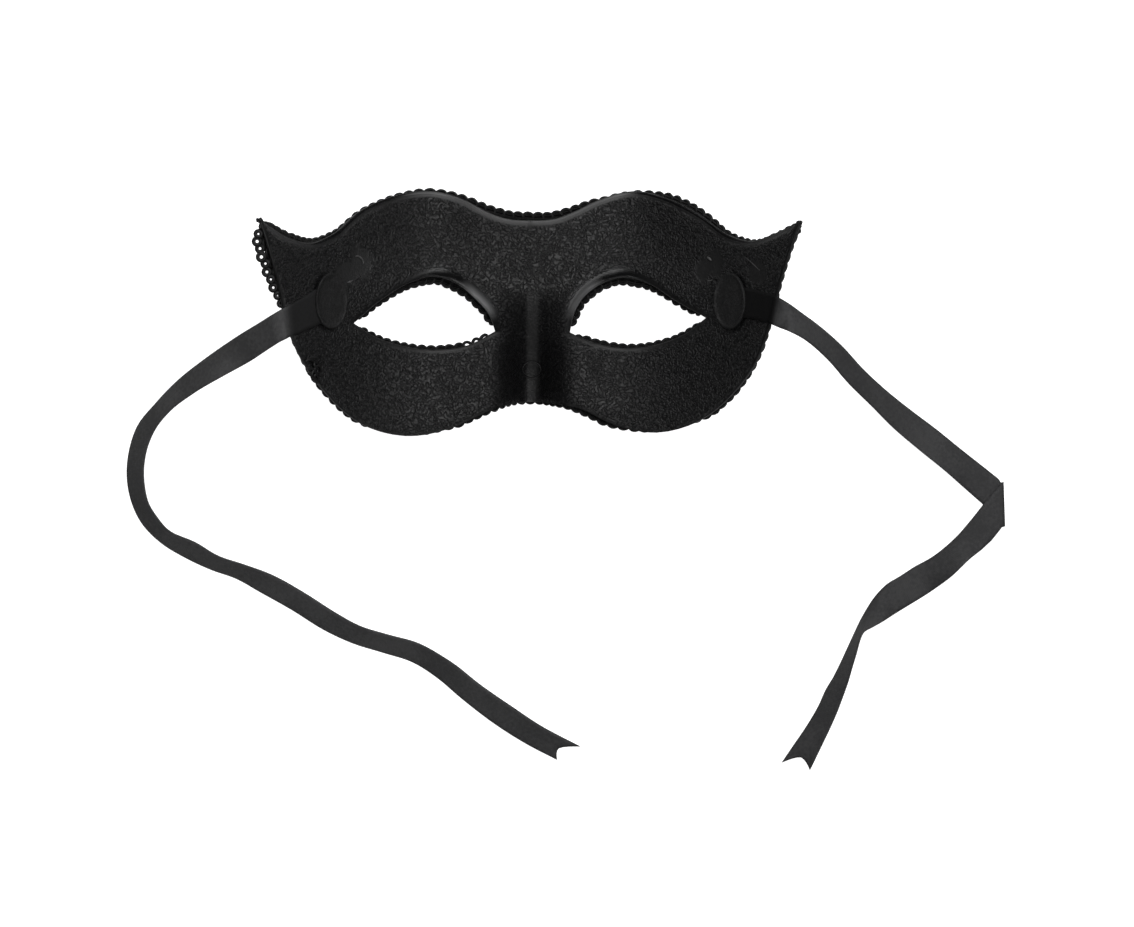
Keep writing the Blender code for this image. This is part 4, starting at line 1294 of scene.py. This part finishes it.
def braid_tree():
    """Cords that swing and loop along a guide line, as a geometry tree with named inputs."""
    tree = bpy.data.node_groups.new("scroll_braid", "GeometryNodeTree")
    face = tree.interface
    face.new_socket("Guide", in_out="INPUT", socket_type="NodeSocketGeometry")
    for label, value in (
        ("Loops", 127.0),
        ("Steps per loop", 22.0),
        ("Cord radius", 0.0005),
        ("Pitch", 0.0038),
        ("Unevenness", 0.12),
        ("Seed", 0.0),
    ):
        face.new_socket(label, in_out="INPUT", socket_type="NodeSocketFloat").default_value = value
    face.new_socket("Finish", in_out="INPUT", socket_type="NodeSocketMaterial")
    face.new_socket("Braid", in_out="OUTPUT", socket_type="NodeSocketGeometry")
    wire = Wiring(tree)
    given = tree.nodes.new("NodeGroupInput").outputs
    put = tree.nodes.new("NodeGroupOutput")
    curve = wire.node("GeometryNodeMeshToCurve", Mesh=given["Guide"]).outputs["Curve"]
    count = wire.math("MULTIPLY", given["Loops"], given["Steps per loop"])
    even = wire.node("GeometryNodeResampleCurve", Curve=curve, Count=count).outputs["Curve"]
    few = wire.math("MULTIPLY", given["Loops"], float(BED_STEPS))
    coarse = wire.node("GeometryNodeResampleCurve", Curve=curve, Count=few).outputs["Curve"]
    index = tree.nodes.new("GeometryNodeInputIndex").outputs[0]
    fine_turn = wire.math("DIVIDE", index, given["Steps per loop"])
    coarse_turn = wire.math("DIVIDE", index, float(BED_STEPS))
    tangent = tree.nodes.new("GeometryNodeInputTangent").outputs[0]
    joined = tree.nodes.new("GeometryNodeJoinGeometry")

    def slack(turn):
        """How far a cord strays across at each turn."""
        loose = tree.nodes.new("ShaderNodeTexNoise")
        loose.noise_dimensions = "1D"
        step = wire.math("ADD", wire.math("MULTIPLY", turn, 0.4), given["Seed"])
        wire.feed(loose.inputs["W"], step)
        off = wire.math("SUBTRACT", loose.outputs["Fac"], 0.5)
        return wire.math("MULTIPLY", off, given["Unevenness"])

    def lay_cord(line, turn, across, extra=None):
        """A round cord beside the guide, by its share of the way across."""
        out_share = wire.math("MAXIMUM", wire.math("MULTIPLY", across, -1.0), 0.0)
        in_share = wire.math("MAXIMUM", across, 0.0)
        outward = wire.vector("SCALE", wire.named("to_outer"), scale=out_share)
        inward = wire.vector("SCALE", wire.named("to_inner"), scale=in_share)
        offset = wire.vector("ADD", outward, inward)
        if extra is not None:
            offset = wire.vector("ADD", offset, extra)
        placed = wire.node("GeometryNodeSetPosition", Geometry=line, Offset=offset)
        kept = wire.node(
            "GeometryNodeStoreNamedAttribute",
            {"data_type": "FLOAT_VECTOR", "domain": "POINT"},
            Geometry=placed.outputs[0],
            Name="cord_place",
        )
        wire.feed(kept.inputs["Value"], wire.node("ShaderNodeCombineXYZ", X=turn).outputs[0])
        ring = wire.node(
            "GeometryNodeCurvePrimitiveCircle", Resolution=6, Radius=given["Cord radius"]
        )
        cord = wire.node("GeometryNodeCurveToMesh", Curve=kept.outputs[0])
        wire.feed(cord.inputs["Profile Curve"], ring.outputs["Curve"])
        tree.links.new(cord.outputs[0], joined.inputs[0])

    for _, centre, swing, lean, rise, start in LOOPED_CORDS:
        angle = wire.math("MULTIPLY", wire.math("ADD", fine_turn, start), math.tau)
        sine, cosine = wire.math("SINE", angle), wire.math("COSINE", angle)
        place = centre
        if centre < 0:
            wider = wire.math("MULTIPLY", wire.named("open", "FLOAT"), OPEN_WIDER)
            place = wire.math("ADD", centre, wider)
            swing = wire.math("MULTIPLY", wire.math("ADD", swing, wider), -1.0)
        swung = wire.math("MULTIPLY", cosine, swing)
        across = wire.math("ADD", wire.math("ADD", place, swung), slack(fine_turn))
        sideways = wire.math("MULTIPLY", wire.math("MULTIPLY", sine, lean), given["Pitch"])
        along = wire.vector("SCALE", tangent, scale=sideways)
        lift = wire.math("MULTIPLY", wire.math("MULTIPLY", sine, rise), given["Cord radius"])
        if centre == 0.0:
            lift = wire.math("ADD", lift, wire.math("MULTIPLY", given["Cord radius"], SCROLL_LIFT))
        raised = wire.vector("SCALE", wire.named("front"), scale=lift)
        lay_cord(even, fine_turn, across, wire.vector("ADD", along, raised))
    for _, centre, opening in BED_CORDS:
        across = wire.math("ADD", centre, slack(coarse_turn))
        if opening:
            drawn = wire.math("MULTIPLY", wire.named("open", "FLOAT"), opening * abs(centre))
            across = wire.math("ADD", across, drawn)
        lay_cord(coarse, coarse_turn, across)
    real = wire.node("GeometryNodeRealizeInstances", Geometry=joined.outputs[0])
    smooth = wire.node("GeometryNodeSetShadeSmooth", Geometry=real.outputs[0])
    painted = wire.node("GeometryNodeSetMaterial", Geometry=smooth.outputs[0])
    wire.feed(painted.inputs["Material"], given["Finish"])
    wire.feed(put.inputs["Braid"], painted.outputs[0])
    return tree


def make_braid(name, guide, length, pitch, seed, tree, material):
    """A braid along its guide with whole loops, pressed flat where it rests."""
    loops = round(length / (pitch * MM))
    modifier = guide.modifiers.new("scroll", "NODES")
    modifier.node_group = tree
    sockets = {s.name: s.identifier for s in tree.interface.items_tree if s.in_out == "INPUT"}
    for label, value in (
        ("Loops", float(loops)),
        ("Steps per loop", float(LOOP_STEPS)),
        ("Cord radius", CORD_RADIUS * MM),
        ("Pitch", length / loops),
        ("Seed", seed),
        ("Finish", material),
    ):
        modifier[sockets[label]] = value
    piece = as_mesh(guide, name)
    corners = np.zeros(len(piece.data.vertices) * 3)
    piece.data.vertices.foreach_get("co", corners)
    heights = corners[2::3]
    corners[2::3] = (heights + np.hypot(heights, PRESSED * MM)) / 2
    piece.data.vertices.foreach_set("co", corners)
    return piece


# Tubes and patches


def tube(centres, ups, radii, first, corners=8, closed=False):
    """Points and faces of a round tube along a line, closed to a ring or with capped ends."""
    around = np.roll(centres, -1, axis=0) - np.roll(centres, 1, axis=0)
    ahead = unit(around if closed else np.gradient(centres, axis=0))
    turn = np.arange(corners) * math.tau / corners
    across = np.cos(turn)[None, :, None] * unit(np.cross(ahead, ups))[:, None]
    across = across + np.sin(turn)[None, :, None] * ups[:, None]
    points = (centres[:, None] + across * np.reshape(radii, (-1, 1, 1))).reshape(-1, 3)
    faces = strip_faces(len(centres), corners, closed, close_columns=True, first=first)
    if not closed:
        cap = range(first, first + corners)
        faces += [tuple(cap), tuple(corner + len(points) - corners for corner in cap)[::-1]]
    return points, faces


def piece_of_tubes(name, lines, material, closed=False):
    """One piece of several tubes: (centres, ups, radii) each."""
    points, faces, first = [], [], 0
    for centres, ups, radii in lines:
        part, quads = tube(centres, ups, radii, first, closed=closed)
        points.append(part)
        faces += quads
        first += len(part)
    piece = new_piece(name, np.concatenate(points), faces, material)
    clean(piece.data)
    return piece


def make_strings(name, face, strings, sunk, material):
    """Strings laid on the wearer's side through pixels of the photograph."""
    lines = []
    for string in strings:
        # The radii count tenfold, so that the curve is smooth in them too
        rows = [(*on_shell(face, x, y)[:2], 10.0 * radius) for x, y, radius in string]
        fine = smooth_rows(rows, STRING_STEPS, closed=False)
        radii = fine[:, 2] / 10.0 * MM
        plan = fine[:, :2] * MM
        ups = face.normals(plan)
        lines.append((face.points(plan) + ups * (radii * (1.0 - sunk))[:, None], ups, radii))
    return piece_of_tubes(name, lines, material)


def make_mark(name, face, mark, material):
    """The fine raised ring that the mould leaves on the wearer's side."""
    x, y, *half = mark
    plan = (on_shell(face, x, y)[:2] + circle(MARK_STEPS) * half) * MM
    ups = face.normals(plan)
    centres = face.points(plan) - ups * MARK_RADIUS * MARK_SUNK * MM
    return piece_of_tubes(name, [(centres, ups, MARK_RADIUS * MM)], material, closed=True)


def make_loops(name, face, rim, material):
    """Level loops of cord beside the rim, at the braid's height."""
    ups = np.tile((0.0, 0.0, 1.0), (LOOP_STEPS, 1))
    lines = []
    for x, y, radius in LOOSE_LOOPS:
        height = SCALE_HEIGHT
        for _ in range(5):
            middle = from_photo(x, y, height)
            edge = rim[nearest(middle[None] * MM, rim)[1]]
            height = face.height(edge[:, :2])[0] / MM - LOOSE_DROP
        plan = middle + circle(LOOP_STEPS) * radius / PIXELS_PER_MM
        centres = np.column_stack((plan, np.full(LOOP_STEPS, height))) * MM
        lines.append((centres, ups, LOOSE_THREAD * MM))
    return piece_of_tubes(name, lines, material, closed=True)


def make_oval(name, face, centre, half, rings, sides, material):
    """A closed oval that follows the wearer's side: rings from its foot to its middle."""
    round_it = circle(sides) * half
    points = [face.offset(centre + round_it * share, height * MM) for share, height in rings]
    points.append(face.offset(centre[None], rings[-1][1] * MM))
    points = np.concatenate(points)
    faces = strip_faces(len(rings), sides, close_columns=True, flip=True)
    top = len(points) - 1
    last = top - sides
    faces += [(top, last + column, last + (column + 1) % sides) for column in range(sides)]
    faces.append(tuple(range(sides))[::-1])
    return new_piece(name, points, faces, material)


# Ribbons


def ribbon_edges(face, route):
    """Both edges of a ribbon's middle surface, one pair for each chosen row, in millimetres."""
    pairs = []
    for x, y, other_x, other_y, height, other_height in route:
        if height is None:
            pairs.append((on_shell(face, x, y), on_shell(face, other_x, other_y)))
            continue
        edge = np.array((*from_photo(x, y, height), height))
        if other_height is None:
            span = from_photo(other_x, other_y, height) - edge[:2]
            length = min(np.linalg.norm(span), RIBBON_WIDTH)
            other = edge[:2] + span / np.linalg.norm(span) * length
            other_height = height + math.sqrt(RIBBON_WIDTH**2 - length**2)
        else:
            other = from_photo(other_x, other_y, other_height)
        pairs.append((edge, np.array((*other, other_height))))
    return np.array(pairs)


def make_ribbon(name, node, face, route, straight, material):
    """A satin ribbon through its route, woven along its own length, with a concave-cut end."""
    pairs = ribbon_edges(face, route)
    rows = smooth_rows(pairs.reshape(-1, 6), RIBBON_STEPS, closed=False, straight=straight)
    rows = rows.reshape(-1, 2, 3)
    rows[:, :, 2] = np.maximum(rows[:, :, 2], RIBBON_THICKNESS / 2 + LOWEST)
    middle = rows.mean(1)
    lengths = lengths_along(middle)
    shares = np.linspace(0.0, 1.0, RIBBON_COLUMNS + 1)
    grid = rows[:, None, 0] + (rows[:, None, 1] - rows[:, None, 0]) * shares[None, :, None]
    # The cut end draws back between its corners
    back = END_NOTCH * (1.0 - np.abs(2 * shares - 1.0) ** 1.5)
    reach = lengths[-1] - lengths
    along = unit(middle[-1] - middle[-6])
    for row in np.where(reach < NOTCH_REACH)[0]:
        grid[row] -= along * ((1.0 - reach[row] / NOTCH_REACH) * back)[:, None]
    columns = len(shares)
    points = grid.reshape(-1, 3) * MM
    faces = strip_faces(len(grid), columns)
    piece = new_piece(name, points, faces, material)
    mesh = piece.data
    layer = mesh.uv_layers.new(name="ribbon")
    for loop in mesh.loops:
        row, column = divmod(loop.vertex_index, columns)
        layer.data[loop.index].uv = (lengths[row] * MM, shares[column] * RIBBON_WIDTH * MM)
    solid = piece.modifiers.new("cloth", "SOLIDIFY")
    solid.thickness = RIBBON_THICKNESS * MM
    solid.offset = 0.0
    piece = as_mesh(piece, name)
    settle(piece, node)
    path = grid[:, columns // 2] * MM
    return piece, path, np.linalg.norm(np.diff(path, axis=0), axis=1).sum()


# Camera, light and floor


def add_camera():
    """The camera hangs over the mask's middle and is turned to the photograph's centre."""
    data = bpy.data.cameras.new("camera")
    camera = add_object("camera", data)
    data.sensor_width = SENSOR_WIDTH
    far = (CAMERA_HEIGHT - SCALE_HEIGHT) * PIXELS_PER_MM
    data.lens = SENSOR_WIDTH * far / PHOTO_WIDTH
    data.clip_start, data.clip_end = 0.05, 50.0
    camera.location = (0.0, 0.0, CAMERA_HEIGHT * MM)
    aim = from_photo(PHOTO_WIDTH / 2, PHOTO_HEIGHT / 2, SCALE_HEIGHT) * MM
    sight = (Vector((*aim, SCALE_HEIGHT * MM)) - camera.location).normalized()
    across = sight.cross(Vector((0.0, 1.0, 0.0))).normalized()
    turned = Matrix((across, across.cross(sight), -sight)).transposed()
    camera.rotation_mode = "QUATERNION"
    camera.rotation_quaternion = turned.to_quaternion()
    bpy.context.scene.camera = camera


def add_light(name, place, size, power):
    data = bpy.data.lights.new(name, "AREA")
    data.shape = "RECTANGLE"
    data.size, data.size_y = size
    data.energy = power
    light = add_object(name, data)
    light.location = place
    light.rotation_mode = "QUATERNION"
    light.rotation_quaternion = (-Vector(place)).to_track_quat("-Z", "Y")


def add_floor():
    """A level floor that shows white to the camera and throws little light on the mask."""
    material, wire, shader = new_material("pale_floor", FLOOR_GREY, 0.8)
    shader.inputs["Emission Color"].default_value = WHITE
    seen = wire.node("ShaderNodeLightPath").outputs["Is Camera Ray"]
    glow = wire.between(seen, 0.0, 1.0, FLOOR_GLOW, FLOOR_SEEN, smooth=False)
    wire.feed(shader.inputs["Emission Strength"], glow)
    half = FLOOR_HALF
    corners = [(-half, -half, 0), (half, -half, 0), (half, half, 0), (-half, half, 0)]
    floor = new_piece("floor", corners, [(0, 1, 2, 3)], material, smooth=False)
    floor.location.z = -FLOOR_DROP


def add_world():
    world = bpy.data.worlds.new("studio")
    bpy.context.scene.world = world
    world.use_nodes = True
    back = world.node_tree.nodes["Background"]
    back.inputs["Color"].default_value = WHITE
    back.inputs["Strength"].default_value = WORLD_GLOW


# Everything

bpy.context.scene.view_settings.view_transform = "Standard"
add_camera()
add_world()
add_floor()
for row in SOFTBOXES:
    add_light(*row)

face_corners, WALL, RIM, HALVES = read_shell()
FACE = Face(face_corners)
BARE = copy.copy(FACE)
BARE.rims = []
for eye, _ in HALVES.values():
    FACE.roll_rim(fine_loop(eye))
GRAIN = grain_group()
PATCHES = []
# Each patch's painted shadow lies on its outer side: -1 to the left, 1 to the right
for side_name, turned in (("left", -1.0), ("right", 1.0)):
    low, high = (np.array(corner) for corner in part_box("patch_" + side_name))
    PATCHES.append(((low + high) / 2, (high - low) / 2, turned))
PLASTIC = moulded_plastic(GRAIN, film_group(), oval_group(), FACE, PATCHES)
THREAD = gimp_thread()
FELT = patch_felt(GRAIN)
SATIN = woven_satin()

for side_name, route, straight in (("left", LEFT_ROUTE, ()), ("right", RIGHT_ROUTE, FOLD_ROWS)):
    node = "ribbon_" + side_name
    ribbon_name = "satin_ribbon_" + side_name
    ribbon, path, length = make_ribbon(ribbon_name, node, FACE, route, straight, SATIN)

settle(build_shell(FACE, WALL, RIM, HALVES, PLASTIC), "mask_shell")
TREE = braid_tree()
for name, loop, node, pitch, inward, seed in (
    ("edge_scroll_braid", RIM, "edge_braid", EDGE_PITCH, 1.0, 3.0),
    ("eye_scroll_braid_left", HALVES[-1][0], "eye_braid_left", EYE_PITCH, -1.0, 41.0),
    ("eye_scroll_braid_right", HALVES[1][0], "eye_braid_right", EYE_PITCH, -1.0, 77.0),
):
    guide, length = braid_guide(name + "_guide", FACE, BARE, WALL, loop, node, inward)
    settle(make_braid(name, guide, length, pitch, seed, TREE, THREAD), node)
for side_name, (centre, half, _) in zip(("left", "right"), PATCHES):
    name = "oval_patch_" + side_name
    half = half[:2] * PATCH_SHARE
    patch = make_oval(name, FACE, centre[:2], half, PATCH_RINGS, PATCH_SIDES, FELT)
    settle(patch, "patch_" + side_name)

settle(make_mark("mould_mark", FACE, MOULD_MARK, PLASTIC))
settle(make_strings("glue_strings", FACE, GLUE_STRINGS, GLUE_SUNK, clear_glue()))
settle(make_strings("loose_braid_threads", FACE, THREAD_ENDS, THREAD_SUNK, THREAD))
settle(make_loops("loose_braid_loops", BARE, RIM, THREAD))

bpy.context.view_layer.update()
